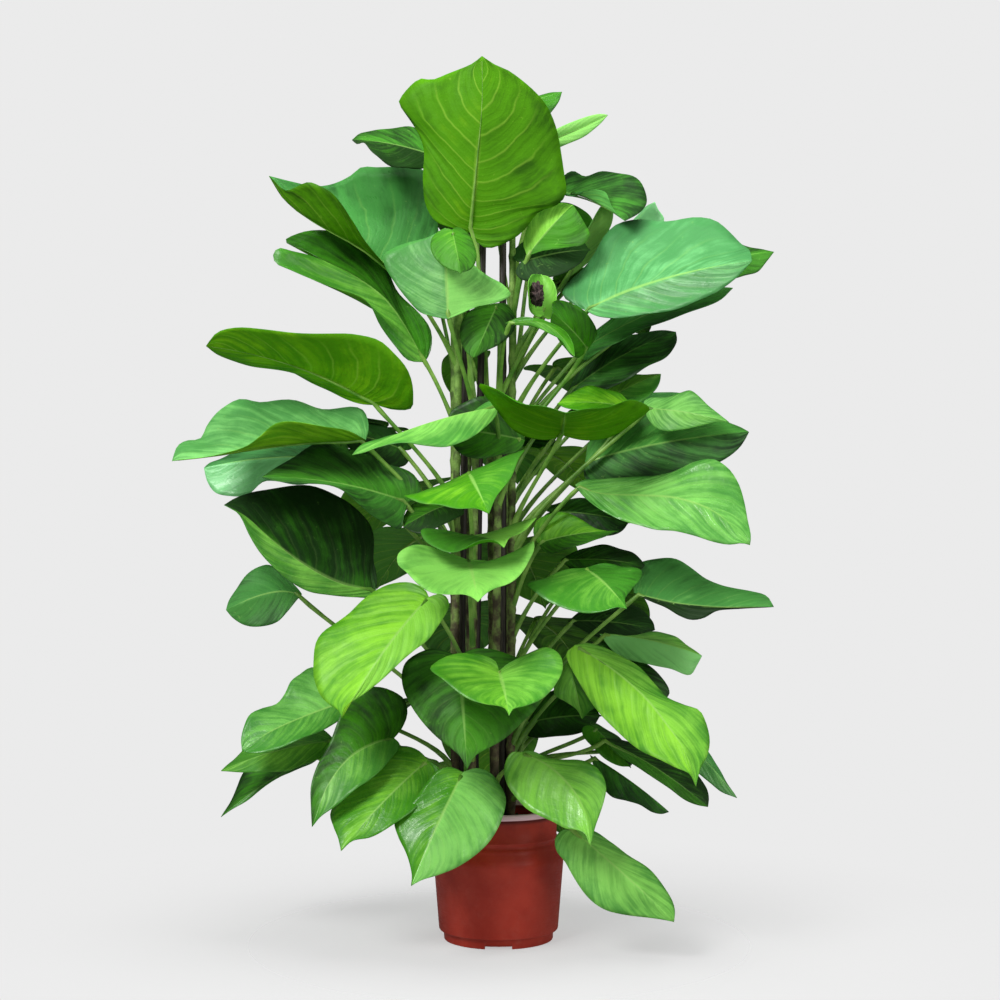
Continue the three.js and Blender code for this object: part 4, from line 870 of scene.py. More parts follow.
# %% Lowest leaves
FRONT_LEAVES |= {
    "low_heart": front(
        (499, 671, 150), (509, 716, 265),
        ((496, 662, 150), (487, 656, 148), (474, 652, 150), (460, 652, 156), (446, 657, 165),
         (434, 664, 176), (430, 669, 184), (440, 680, 200), (455, 691, 215), (471, 699, 228),
         (487, 704, 241), (500, 706, 252), (506, 709, 259)),
        ((506, 665, 148), (518, 657, 147), (531, 650, 150), (543, 647, 156), (554, 650, 165),
         (561, 657, 174), (563, 668, 184), (560, 680, 198), (551, 691, 212), (538, 700, 228),
         (524, 706, 243), (513, 709, 257)),
        lift=(0.15, 0.15), vine=5, look=((0.7, 0.1), (0.75, 0.2)),
    ),
    "low_heart_under": front(
        (458, 657, 95), (467, 770, 200),
        ((447, 651, 95), (432, 648, 98), (417, 652, 104), (406, 661, 112), (402, 673, 120), (403, 688, 130),
         (411, 706, 142), (423, 723, 156), (437, 737, 170), (451, 748, 182), (461, 758, 192)),
        ((470, 650, 95), (490, 648, 95), (515, 655, 98), (535, 670, 108), (543, 690, 120), (537, 708, 135),
         (523, 722, 152), (506, 737, 168), (488, 748, 182), (475, 756, 192)),
        look=((0.3, 0), (0.4, 0)), gloss=0.1,
    ),
    "left_bright": front(
        (429, 597, 100), (342, 718, 210),
        ((425, 590, 98), (414, 583, 92), (401, 581, 88), (388, 583, 88), (375, 590, 92), (363, 600, 98),
         (350, 613, 108), (336, 624, 118), (324, 634, 126), (317, 645, 134), (314, 660, 143),
         (313, 676, 155), (320, 695, 172), (330, 705, 187), (338, 710, 198)),
        ((438, 594, 105), (446, 596, 112), (449, 604, 120), (445, 614, 130), (438, 626, 140),
         (428, 640, 150), (415, 650, 160), (400, 663, 170), (385, 677, 180), (368, 691, 190),
         (352, 702, 200), (344, 708, 206)),
        look=((0.8, 0), (0.9, 0.1)), gloss=0.4,
    ),
    "left_paddle": front(
        (302, 594, 40), (226, 610, 70),
        ((293, 583, 30), (280, 572, 15), (268, 565, 5), (258, 568), (245, 578, 20), (235, 590),
         (229, 600, 50)),
        ((295, 602, 48), (287, 612, 55), (277, 622, 62), (260, 627, 65), (245, 625, 67), (233, 618, 70)),
        keel=((282, 591, 46), (260, 595, 55), (240, 603, 64)),
        look=((0.45, 0.5), (0.4, 0.4)),
    ),
    "low_left_a": front(
        (350, 700, 30), (242, 751, 90),
        ((345, 685, 15), (330, 672, 5), (311, 667, 5), (300, 674, 12), (291, 682, 20), (285, 695, 30),
         (277, 704, 40), (262, 708, 52), (250, 714, 62), (244, 726, 72), (241, 739, 82)),
        ((352, 712, 38), (340, 720, 48), (325, 729, 66), (308, 737, 84), (290, 744, 94), (272, 750, 98),
         (255, 753, 98)),
        keel=((335, 705, 38), (300, 718, 58), (268, 733, 76)),
        look=((0.75, 0.4), (0.6, 0.3)), gloss=0.9,
    ),
    "low_left_b": front(
        (335, 740, 10), (221, 771, 50),
        ((320, 728, -10), (295, 730, -20), (265, 738, -15), (243, 750, 5), (230, 762, 30)),
        ((325, 755, 30), (307, 763, 42), (288, 771, 50), (262, 772, 52), (238, 772, 52)),
        look=((0.6, 0.1), (0.7, 0.1)),
    ),
    "low_left_c": front(
        (322, 755, -30), (221, 817, 0),
        ((310, 755, -45), (285, 750, -60), (262, 758, -60), (245, 771, -50), (237, 787, -35),
         (228, 805, -15)),
        ((312, 763, -15), (296, 769, -5), (279, 778, 0), (264, 787, 0), (248, 800, 0), (232, 809, 0)),
        look=((0.25, 0.1), (0.5, 0.2)),
    ),
    "low_left_d": front(
        (394, 738, 70), (312, 827, 140),
        ((402, 728, 60), (408, 712, 48), (405, 698, 40), (390, 689, 34), (372, 687, 36), (357, 692, 42),
         (345, 703, 54), (338, 722, 70), (329, 745, 88), (318, 763, 105), (311, 785, 122), (311, 808, 135)),
        ((400, 745, 85), (393, 755, 98), (383, 768, 112), (370, 780, 125), (352, 793, 135), (335, 806, 140),
         (320, 817, 142)),
        keel=((375, 743, 82), (350, 757, 98), (328, 785, 120)),
        look=((0.3, 0), (0.6, 0.2)),
    ),
    "low_left_e": front(
        (428, 760, 80), (341, 851, 160),
        ((418, 750, 74), (402, 745, 74), (385, 752, 80), (365, 775, 90), (345, 795, 104), (330, 812, 120),
         (333, 826, 135), (338, 838, 148)),
        ((440, 770, 88), (436, 785, 102), (425, 800, 118), (408, 815, 138), (390, 827, 150),
         (370, 837, 157), (352, 841, 160)),
        look=((0.7, 0.1), (0.6, 0.1)), gloss=1,
    ),
    "pot_left": front(
        (463, 772, 100), (411, 886, 190),
        ((450, 767, 102), (438, 770, 106), (428, 780, 112), (418, 795, 120), (406, 810, 128),
         (395, 822, 136), (398, 836, 146), (405, 851, 157), (410, 866, 170), (412, 877, 180)),
        ((476, 768, 100), (490, 772, 104), (500, 783, 112), (506, 798, 122), (503, 816, 134),
         (496, 832, 146), (486, 846, 156), (472, 858, 165), (455, 868, 173), (435, 876, 180),
         (422, 880, 185)),
        look=((0.6, 0.1), (0.85, 0.4)), gloss=1,
    ),
    "pot_right": front(
        (520, 752, 110), (590, 846, 190),
        ((512, 752, 112), (506, 760, 118), (504, 772, 125), (508, 786, 134), (517, 799, 142),
         (528, 810, 150), (541, 817, 158), (553, 822, 165), (566, 828, 172), (578, 830, 178),
         (585, 834, 183)),
        ((532, 751, 105), (548, 757, 105), (565, 759, 108), (582, 761, 115), (594, 766, 122),
         (602, 775, 130), (606, 788, 138), (604, 801, 147), (600, 814, 157), (596, 825, 168),
         (593, 835, 180)),
        keel=((545, 763, 122), (562, 777, 135), (578, 797, 152), (588, 822, 172)),
        look=((0.9, 0.2), (0.8, 0.2)), gloss=0.8,
    ),
    "lowest_right": front(
        (572, 830, 95), (674, 922, 150),
        ((562, 830, 92), (555, 838, 95), (556, 850, 100), (565, 862, 106), (573, 876, 112), (582, 890, 118),
         (592, 901, 124), (606, 910, 130), (625, 915, 136), (650, 918, 143), (664, 920, 148)),
        ((583, 829, 92), (596, 831, 90), (611, 842, 92), (626, 854, 97), (642, 865, 103), (655, 876, 110),
         (665, 887, 118), (672, 899, 127), (675, 911, 140)),
        look=(0.8, 0.3),
    ),
}
print("front leaves so far:", len(FRONT_LEAVES))

# %% [markdown]
# Of the last blades only a strip or a corner shows between the others. They are whole all the same,
# because the other sides of the plant show more of them.

# %% Leaves that show little
FRONT_LEAVES |= {
    "right_bottom_tip": front(
        (670, 730, 0), (737, 798, 20),
        ((690, 735, -10), (709, 754, -10), (718, 768, -5), (727, 782, 5)),
        ((678, 752, 15), (697, 772, 20), (710, 783, 22), (722, 792, 24)),
        look=((0.6, 0.6), (0.65, 0.5)),
    ),
    "right_bottom": front(
        (600, 738, 40), (708, 807, 80),
        ((625, 740, 25), (660, 750, 20), (690, 768, 35), (706, 785, 58), (709, 797, 72)),
        ((618, 755, 50), (637, 767, 60), (655, 779, 68), (670, 789, 74), (685, 800, 78), (697, 805, 80)),
        look=((0.1, 0), (0.35, 0)),
    ),
    "right_bottom_thin": front(
        (590, 755, 30), (669, 812, 60),
        ((601, 763, 30), (609, 775, 35), (618, 785, 40), (635, 793, 46), (652, 801, 52), (662, 807, 57)),
        ((595, 770, 38), (602, 786, 45), (612, 797, 50), (627, 801, 55), (640, 805, 58), (652, 812, 62),
         (662, 814, 62)),
        look=(0.2, 0.2),
    ),
    "olive_under": front(
        (592, 726, 20), (631, 768, 40), (597, 752, 40), (625, 745, 0),
        look=((0.5, 0), (0.25, 0)),
    ),
    "low_back_right": front(
        (530, 722, -30), (602, 716, -20), (565, 690, -70), (565, 736, -10),
        look=(0.1, 0.1),
    ),
    "left_shade": front(
        (405, 450, -30), (340, 432, -20), (375, 424, -50), (372, 462, -10),
        look=((0.05, 0.2), (0.1, 0.1)),
    ),
}
print("front leaves:", len(FRONT_LEAVES))

# %% [markdown]
# Each row is a leaf of the far side. First come its bearing in degrees and the height and reach of its
# base, then the length and width of its blade, and last its droop and its lean to one side in degrees.
# They follow the sizes and the rhythm of the front leaves. Lengths are in millimetres.

# %% Leaves of the far side
REAR_LEAVES = [
    (62, 205, 150, 200, 140, 38, 5),
    (118, 225, 140, 190, 140, 36, -5),
    (88, 275, 165, 215, 155, 34, 4),
    (35, 330, 175, 200, 140, 30, -6),
    (128, 318, 160, 190, 130, 28, 6),
    (64, 436, 170, 215, 160, 28, -4),
    (98, 455, 160, 210, 150, 30, 5),
    (45, 485, 160, 200, 145, 26, 5),
    (120, 562, 175, 190, 135, 26, -5),
    (74, 548, 165, 215, 155, 28, 6),
    (58, 688, 160, 180, 130, 22, -4),
    (124, 640, 175, 215, 155, 24, 4),
    (38, 735, 160, 190, 140, 20, 6),
    (80, 712, 165, 150, 150, 26, -5),
    (150, 715, 165, 180, 130, 20, -6),
    (50, 812, 160, 190, 140, 20, 5),
    (100, 825, 110, 150, 70, 20, 4),
    (38, 925, 150, 180, 140, 20, -6),
    (42, 935, 140, 195, 145, 12, 5),
    (135, 980, 140, 190, 140, 10, -5),
    (95, 1045, 120, 180, 135, 5, 4),
    (45, 1035, 100, 130, 110, 20, -4),
    (118, 1075, 105, 170, 125, -10, 4),
]
print("rear leaves:", len(REAR_LEAVES))

# %% [markdown]
# Every row becomes a blade. It goes to the vine that stands on its side of the plant, unless its row names
# another. The look of a far leaf is drawn by chance.

# %% Hang every leaf
FAR_BRIGHT, FAR_HUE = (0.2, 0.65), (0, 0.35)
blades = [Blade(**leaf) for leaf in FRONT_LEAVES.values()]
for leaf in REAR_LEAVES:
    blades.append(Blade(**rear(*leaf), look=(chance.uniform(*FAR_BRIGHT), chance.uniform(*FAR_HUE))))
vines = [[blade for blade in blades if blade.vine == vine] for vine in range(len(VINE_TOPS))]
print("leaves of each vine:", [len(vine) for vine in vines])

# %% [markdown]
# ## One blade's surface
#
# A flat grid from `create_grid` is laid on the formula. Its x goes across the blade and its y along it, and
# its rows leave the midrib as the side veins do. The surface swells a little between the veins and sinks
# along the midrib, which is what breaks up the gloss on a real leaf. The veins of the material follow
# the grid's UV map. A colour attribute carries how bright and how blue-green each half is, how glossy the
# leaf is, which is drawn by chance where the table doesn't say, and how full-grown it is, because a
# small leaf has fainter veins.

# %% Lay a grid on the blade
BLADE_ROWS = 40
BLADE_COLUMNS = 8
SIDE_VEINS = 9
SWELL = 0.006
VEIN_SWEEP = 0.2
VEIN_BEND = 1.2
FULL_GROWN = 210 * MM
GROOVE = 1.2 * MM
GROOVE_WIDTH = 0.07
RUFFLE = 0.02
RUFFLES = 7
SHEEN = (0.3, 0.8)
SEAM = 0.02 * MM


def lay_blade(maker, blade):
    uv = maker.loops.layers.uv["UVMap"]
    tint = maker.loops.layers.float_color["tint"]
    columns = 2 * BLADE_COLUMNS
    grid = bmesh.ops.create_grid(maker, x_segments=columns, y_segments=BLADE_ROWS, size=0.5)["verts"]
    sheen, phase = chance.uniform(*SHEEN), chance.uniform(0, math.tau)
    gloss = sheen if blade.gloss is None else blade.gloss
    grown = min((blade.rib(1)[0] - blade.base).length / FULL_GROWN, 1)
    for face in {face for vert in grid for face in vert.link_faces}:
        colour = (*blade.looks[1 if face.calc_center_median().x > 0 else 0], gloss, grown)
        for loop in face.loops:
            loop[uv].uv = (loop.vert.co.x + 0.5, loop.vert.co.y + 0.5)
            loop[tint] = colour
    for vert in grid:
        across, share = 2 * vert.co.x, min(max(vert.co.y + 0.5, 0), 1)
        part = abs(across)
        place, reach, rise = blade.point_at(0 if across < 0 else 1, part, share)
        course = SIDE_VEINS * (share - VEIN_SWEEP * part**VEIN_BEND) + (0.5 if across > 0 else 0)
        swell = SWELL * reach * math.sin(math.pi * (course % 1)) * 4 * part * (1 - part)
        groove = GROOVE * math.exp(-((part / GROOVE_WIDTH) ** 2)) * (1 - share)
        ruffle = RUFFLE * reach * part**3 * math.sin(RUFFLES * share * math.pi + phase)
        vert.co = place + (swell - groove + ruffle) * rise
    bmesh.ops.remove_doubles(maker, verts=grid, dist=SEAM)


print(f"{BLADE_ROWS * BLADE_COLUMNS * 2} faces a blade")

# %% [markdown]
# ## Leaf finishes
#
# A living leaf is waxy above, and matt and yellow-green below, with the midrib and the side veins paler
# than the rest. The strong yellow-green below is partly the leaf's own colour and partly painted light
# shining through the blade. One function makes both faces. It climbs a ladder of three greens by how
# bright this half of the leaf is, once through warm greens and once through cool ones, and the colour
# attribute says how far. That brightness carries painted shade as well as the leaf's own tone, and the
# palest cool green is partly a painted reflection on the wax. The veins follow the leaf's own UV map, and
# most of what shows of them is low relief, by a bump node, since they are finer than the grid. `veins`
# says how much of their pale colour shows, which is more below than above, and `rib_end` where along the
# leaf the midrib's colour has faded out.

# %% Leaf material
MATT = 0.72
WAVER = 0.12
VEIN_EDGE, NET_EDGE = 0.42, 0.25
NET_VEINS = 3.0
MIDRIB_EDGE, MIDRIB_CORE = 0.045, 0.012
RIB_FADE = 0.25
STREAK_SEED = 30.0
MOTTLE, STREAK_AND_SHEEN, QUILT_SHADE = 0.09, 0.11, 0.04
FLECK = 0.25


def leaf_finish(name, warm, cool, rib, veins, rib_end, roughness, specular, relief):
    tree = Tree(name)
    split = {"Vector": tree.add("ShaderNodeUVMap", uv_map="UVMap")}
    u = tree.add("ShaderNodeSeparateXYZ", split, output=0)
    v = tree.add("ShaderNodeSeparateXYZ", split, output=1)
    tint = tree.add("ShaderNodeAttribute", attribute_name="tint")
    bright, hue, gloss = (tree.add("ShaderNodeSeparateColor", {"Color": tint}, output=k) for k in range(3))
    grown = tree.add("ShaderNodeAttribute", attribute_name="tint", output=3)

    # How far out from the midrib, and which side vein is near
    place = tree.object_place()
    waver = tree.fade(tree.noise(18.0, 2.0, 0.5, place), 0.25, 0.75, -WAVER, WAVER)
    out = tree.times(tree.from_middle(u), 2.0)
    right = tree.math("MULTIPLY_ADD", tree.math("GREATER_THAN", u, 0.5), 0.5, waver)
    swept = tree.math("MULTIPLY_ADD", tree.math("POWER", out, VEIN_BEND), -VEIN_SWEEP, v)
    course = tree.math("MULTIPLY_ADD", swept, float(SIDE_VEINS), right)
    near_vein = tree.from_middle(tree.math("FRACT", course))
    vein = tree.times(tree.fade(near_vein, VEIN_EDGE, 0.5), tree.fade(out, 1.0, 0.4))
    quilt = tree.times(tree.fade(near_vein, 0.0, 0.5), tree.fade(out, 0.0, 0.3))
    near_net = tree.from_middle(tree.math("FRACT", tree.times(course, NET_VEINS)))
    net = tree.times(tree.fade(near_net, NET_EDGE, 0.5), tree.fade(out, 1.0, 0.3))
    ending = tree.fade(v, rib_end, rib_end - RIB_FADE)
    midrib = tree.times(tree.fade(out, MIDRIB_EDGE, MIDRIB_CORE), ending)
    midrib = tree.times(midrib, tree.fade(grown, 0.25, 0.5, 0.2, 1.0))

    # Mottling over the blade and streaks along its veins make it brighter and darker by places. The streaks
    # are partly paler tissue along the veins and partly a painted glossy sheen.
    mottle = tree.noise(22.0, 4.0, 0.55, place)
    leaf_seed = tree.times(gloss, STREAK_SEED)
    along_vein = tree.add("ShaderNodeCombineXYZ", {"X": u, "Y": course, "Z": leaf_seed})
    streaks = tree.noise(2.6, 5.0, 0.6, along_vein)
    level = tree.plus(bright, tree.fade(mottle, 0.3, 0.7, -MOTTLE, MOTTLE))
    level = tree.plus(level, tree.fade(streaks, 0.3, 0.7, -STREAK_AND_SHEEN, STREAK_AND_SHEEN))
    # Painted light and shade: a little lighter near the midrib, darker towards the margin, and darker along
    # the sunken side veins by QUILT_SHADE
    level = tree.plus(level, tree.fade(out, 0.2, 1.0, 0.04, -0.08))
    level = tree.math("MULTIPLY_ADD", tree.times(quilt, grown), -QUILT_SHADE, level)
    greens = []
    for deep, middle, fresh in (warm, cool):
        lower = tree.mix(tree.fade(level, 0.0, 0.5), deep, middle)
        greens.append(tree.mix(tree.fade(level, 0.5, 1.0), lower, fresh))
    colour = tree.mix(hue, *greens)
    pale = tree.times(grown, tree.fade(bright, 0.1, 0.6, 0.4 * veins, veins))
    colour = tree.mix(tree.times(vein, pale), colour, rib)
    colour = tree.mix(tree.times(midrib, tree.fade(bright, 0.1, 0.6, 0.35, 0.6)), colour, rib)
    fleck = tree.fade(tree.noise(160.0, 2.0, 0.6, place), 0.66, 0.72)
    colour = tree.mix(tree.times(fleck, tree.fade(mottle, 0.45, 0.65, 0.0, FLECK)), colour, rib)

    height = tree.math("MULTIPLY_ADD", net, -0.25, tree.times(quilt, -1.0))
    bumps = tree.bump(tree.times(height, tree.math("POWER", grown, 3.0)), relief)
    pucker = tree.bump(tree.noise(70.0, 4.0, 0.6, place), 1.6 * MM, 0.7, bumps)
    skin = tree.bump(tree.noise(420.0, 2.0, 0.5, place), 0.12 * MM, 0.5, pucker)
    worn = tree.plus(tree.fade(mottle, 0.3, 0.7, -0.05, 0.07), tree.fade(streaks, 0.3, 0.7, 0.1, -0.1))
    rough = tree.plus(tree.fade(gloss, 0.0, 1.0, MATT, roughness), worn)
    return tree.finish(Base_Color=colour, Roughness=rough, Normal=skin, Specular_IOR_Level=specular)


# The palest cool green above is partly a painted reflection on the waxy blade
upper_finish = leaf_finish(
    "leaf_upper",
    warm=((0.007, 0.04, 0.002, 1), (0.048, 0.25, 0.003, 1), (0.24, 0.62, 0.025, 1)),
    cool=((0.007, 0.045, 0.012, 1), (0.062, 0.265, 0.08, 1), (0.21, 0.62, 0.25, 1)),
    rib=(0.3, 0.58, 0.12, 1), veins=0.16, rib_end=1.0, roughness=0.31, specular=0.42, relief=0.5 * MM,
)
# The bright warm green below is partly painted light shining through the blade
under_finish = leaf_finish(
    "leaf_under",
    warm=((0.012, 0.06, 0.001, 1), (0.076, 0.28, 0.001, 1), (0.24, 0.53, 0.006, 1)),
    cool=((0.01, 0.06, 0.012, 1), (0.068, 0.26, 0.08, 1), (0.2, 0.52, 0.18, 1)),
    rib=(0.3, 0.55, 0.05, 1), veins=0.5, rib_end=0.75, roughness=0.5, specular=0.12, relief=-0.7 * MM,
)
print("leaf finishes:", upper_finish.name, under_finish.name)

# %% [markdown]
# ## Leaves, vine by vine
#
# All the blades of one vine share a mesh. A Solidify modifier gives the sheet its thickness, and its
# material offset gives the underside the second finish.

# %% Grow the blades
BLADE_THICKNESS = 0.7 * MM


def grow_leaves(vine):
    maker = bmesh.new()
    maker.loops.layers.uv.new("UVMap")
    maker.loops.layers.float_color.new("tint")
    for blade in vines[vine]:
        lay_blade(maker, blade)
    name = f"vine_{vine + 1}_leaves"
    piece = add_piece(name, mesh_from(maker, name), [upper_finish, under_finish], f"vine_{vine + 1}")
    wall = piece.modifiers.new("thickness", "SOLIDIFY")
    wall.thickness = BLADE_THICKNESS
    wall.offset = 0
    wall.material_offset = 1


for vine in range(len(VINE_TOPS)):
    grow_leaves(vine)

# %% [markdown]
# ## Stems, petioles and midribs
#
# A petiole leaves its stem below the blade, climbs outwards and turns into the midrib, which stands out
# as a ridge under the blade. It is thick at its sheath and again at the knee before the blade. A curve
# with a round bevel is the natural tool, since each of its points carries a radius.

# %% Petioles
PETIOLE_POINTS = 12
RIB_POINTS = 9
SHEATH_RADIUS = 4.6 * MM
PETIOLE_RADIUS = 2.9 * MM
KNEE_RADIUS = 3.5 * MM
RIB_END_RADIUS = 0.3 * MM
RIB_SHARE, RIB_TAPER = 0.97, 1.8
RIB_OVERLAP, UNDER_BLADE = 8 * MM, 0.6 * MM
LOWEST_NODE = SOIL_MIDDLE + 18 * MM
NODE_DROP, NODE_SLOPE = 30 * MM, 0.75
SHEATH_SHARE = 0.4
KNEE_PLACE, KNEE_WIDTH = 0.93, 0.06


def petiole(blade):
    """Points and radii from the stem to the tip of the midrib"""
    base, forward, above = blade.rib(0)
    reach = math.hypot(base.x - BUNDLE.x, base.y - BUNDLE.y)
    usual = base.z - NODE_DROP - NODE_SLOPE * reach
    at_least = LOWEST_NODE + 0.3 * (base.z - LOWEST_NODE)
    node = min(max(usual, at_least, LOWEST_NODE), VINE_TOPS[blade.vine])
    start = stem_centre(blade.vine, node)
    end = base + RIB_OVERLAP * forward - UNDER_BLADE * above
    run = (end - start).length / 3
    climb = min(max((end.z - start.z) / run, -0.3), 0.7)
    outward = Vector((end.x - start.x, end.y - start.y, 0)).normalized()
    rising = start + 0.8 * run * UP + 0.35 * run * outward
    arriving = end - run * (0.3 * forward + climb * UP + 0.5 * outward).normalized()
    points = []
    for step in range(PETIOLE_POINTS + 1):
        t = step / PETIOLE_POINTS
        leaving = (1 - t) ** 3 * start + 3 * t * (1 - t) ** 2 * rising
        place = leaving + 3 * t * t * (1 - t) * arriving + t**3 * end
        sheath = (SHEATH_RADIUS - PETIOLE_RADIUS) * max(0, 1 - t / SHEATH_SHARE)
        knee = (KNEE_RADIUS - PETIOLE_RADIUS) * math.exp(-(((t - KNEE_PLACE) / KNEE_WIDTH) ** 2))
        points.append((place, PETIOLE_RADIUS + sheath + knee))
    for step in range(1, RIB_POINTS + 1):
        share = step / RIB_POINTS
        point, _, above = blade.rib(RIB_SHARE * share)
        radius = PETIOLE_RADIUS * 0.85 * (1 - share) ** RIB_TAPER + RIB_END_RADIUS * share
        sink = GROOVE * (1 - share) + 0.95 * radius
        points.append((point - sink * above, radius))
    return points, node


print("points of a petiole and its midrib:", PETIOLE_POINTS + 1 + RIB_POINTS)

# %% [markdown]
# A stem winds a little round the bundle on its way up. It swells to a ring at every node, which is where a
# leaf joins it or once did. One helper turns the stem and all the petioles of a vine into one mesh.

# %% Stems with their nodes
STEM_RADIUS = 6.3 * MM
STEM_TIP_RADIUS = 4.5 * MM
STEM_PITCH = 6 * MM
RING_SWELL = 1.3 * MM
RING_SPACING = 48 * MM
RING_WIDTH = 5 * MM
FIRST_RING = SOIL_MIDDLE + 12 * MM


def stem(vine, nodes):
    top = VINE_TOPS[vine]
    rings = list(nodes)
    height = FIRST_RING
    while height < top:
        if all(abs(height - ring) > 0.4 * RING_SPACING for ring in rings):
            rings.append(height)
        height += RING_SPACING
    points = []
    for step in range(round((top - STEM_FOOT) / STEM_PITCH) + 1):
        height = STEM_FOOT + step * STEM_PITCH
        share = (height - STEM_FOOT) / (top - STEM_FOOT)
        nearest = min(abs(height - ring) for ring in rings)
        swell = RING_SWELL * math.exp(-((nearest / RING_WIDTH) ** 2))
        radius = STEM_RADIUS + (STEM_TIP_RADIUS - STEM_RADIUS) * share + swell
        points.append((stem_centre(vine, height), radius))
    return points


def tube_mesh(name, runs, resolution, materials):
    """One mesh from several runs of (points, slot), each a round tube with closed ends"""
    curve = bpy.data.curves.new(name, "CURVE")
    for material in materials:
        curve.materials.append(material)
    curve.dimensions = "3D"
    curve.bevel_depth = 1
    curve.bevel_resolution = resolution
    curve.use_fill_caps = True
    for points, material_slot in runs:
        spline = curve.splines.new("POLY")
        spline.points.add(len(points) - 1)
        for point, (place, radius) in zip(spline.points, points):
            point.co = (*place, 1)
            point.radius = radius
        spline.use_smooth = True
        spline.material_index = material_slot
    holder = bpy.data.objects.new(name, curve)
    bpy.context.collection.objects.link(holder)
    depsgraph = bpy.context.evaluated_depsgraph_get()
    mesh = bpy.data.meshes.new_from_object(holder.evaluated_get(depsgraph))
    mesh.name = name
    bpy.data.objects.remove(holder)
    bpy.data.curves.remove(curve)
    return mesh


print(f"rings on a stem: at its leaves, and about every {RING_SPACING / MM:.0f} mm between")

# %% [markdown]
# The petioles are fresh green and slightly glossy. The climbing stem is greener near its top and turns
# brown and corky towards the soil, in uneven patches.

# %% Stem and petiole finishes
def petiole_finish():
    tree = Tree("petiole")
    place = tree.object_place()
    streaks = tree.noise(30.0, 4.0, 0.6, place)
    colour = tree.mix(tree.fade(streaks, 0.3, 0.7), (0.08, 0.24, 0.02, 1), (0.26, 0.48, 0.08, 1))
    normal = tree.bump(tree.noise(260.0, 3.0, 0.5, place), 0.4 * MM, 0.6)
    return tree.finish(Base_Color=colour, Roughness=0.42, Normal=normal)


def stem_finish():
    tree = Tree("stem")
    place = tree.object_place()
    height = tree.add("ShaderNodeSeparateXYZ", {"Vector": place}, output=2)
    patches = tree.noise(45.0, 5.0, 0.65, place)
    age = tree.plus(height, tree.fade(patches, 0.3, 0.7, -0.25, 0.25))
    green = tree.mix(tree.fade(patches, 0.35, 0.65), (0.08, 0.2, 0.02, 1), (0.24, 0.42, 0.08, 1))
    bark = tree.mix(tree.fade(patches, 0.35, 0.65), (0.05, 0.035, 0.018, 1), (0.16, 0.12, 0.06, 1))
    colour = tree.mix(tree.fade(age, 0.25, 0.85), bark, green)
    normal = tree.bump(tree.noise(320.0, 4.0, 0.6, place), 0.8 * MM, 0.8)
    return tree.finish(Base_Color=colour, Roughness=0.7, Normal=normal)


stem_look, petiole_look = stem_finish(), petiole_finish()
print("stem finishes:", stem_look.name, petiole_look.name)

# %% [markdown]
# Every vine now gets its stem and petioles. They share a mesh, so the slot of each run says which of the
# two finishes it takes.

# %% Grow the stems
BARK_SLOT, PETIOLE_SLOT = 0, 1
for vine, leaves in enumerate(vines):
    runs, nodes = [], []
    for blade in leaves:
        points, node = petiole(blade)
        runs.append((points, PETIOLE_SLOT))
        nodes.append(node)
    runs.append((stem(vine, nodes), BARK_SLOT))
    name = f"vine_{vine + 1}_stem"
    add_piece(name, tube_mesh(name, runs, 3, [stem_look, petiole_look]), [], f"vine_{vine + 1}")

# %% [markdown]
# One young leaf is cupped round a withered curl, brown and crumpled. A ball is squeezed to its size and
# folded with noise, and it rests on the hollow side of that leaf.

# %% The withered curl
CURL_PLACE = (537, 294, 94)
CURL_SIZE = (12.5, 13, 18)
CURL_FOLDS = 1.6
CURL_WRINKLES = 4 * CURL_FOLDS


def withered_curl():
    maker = bmesh.new()
    middle = seen(*CURL_PLACE)
    for vert in bmesh.ops.create_uvsphere(maker, u_segments=36, v_segments=24, radius=1)["verts"]:
        folds = 0.9 * abs(noise.noise(vert.co * CURL_FOLDS))
        folds += 0.6 * abs(noise.noise(vert.co * CURL_WRINKLES))
        vert.co = middle + (1.1 - folds) * MM * vert.co * Vector(CURL_SIZE)
    return mesh_from(maker, "withered_curl")


def withered_finish():
    tree = Tree("withered")
    place = tree.object_place()
    crumple = tree.noise(240.0, 5.0, 0.65, place)
    colour = tree.mix(tree.fade(crumple, 0.35, 0.65), (0.014, 0.008, 0.008, 1), (0.11, 0.07, 0.065, 1))
    return tree.finish(Base_Color=colour, Roughness=0.8, Normal=tree.bump(crumple, 1.5 * MM, 0.9))


curl_node = f"vine_{nearest_vine(seen(*CURL_PLACE)) + 1}"
add_piece(curl_node + "_curl", withered_curl(), [withered_finish()], curl_node)

# %% [markdown]
# ## Canes
#
# Three dark straight canes hold the vines up. They are thin bamboo, with a slight ring about every 140 mm
# and fibres along them.

# %% Canes
CANES = {
    "cane_right": ((6, -10, 20), (6, -10, 1010)),
    "cane_middle": ((-36, 10, 20), (-22, 10, 1010)),
    "cane_left": ((-56, 0, 20), (-44, 0, 1010)),
}
CANE_RADIUS = 5.3 * MM
CANE_STEPS = 90
CANE_TAPER = 0.08
KNOTS = 7
FIRST_KNOT, KNOT_SPACING = (0.02, 0.08), 0.14
KNOT_SWELL, KNOT_WIDTH = 0.12, 0.005


def cane_finish():
    tree = Tree("cane")
    place = tree.object_place()
    stretched = tree.add("ShaderNodeMapping", {"Vector": place, "Scale": (1, 1, 0.08)})
    fibre = tree.noise(380.0, 4.0, 0.6, stretched)
    colour = tree.mix(tree.fade(fibre, 0.3, 0.7), (0.012, 0.009, 0.007, 1), (0.05, 0.04, 0.028, 1))
    return tree.finish(Base_Color=colour, Roughness=0.55, Normal=tree.bump(fibre, 0.5 * MM, 0.7))


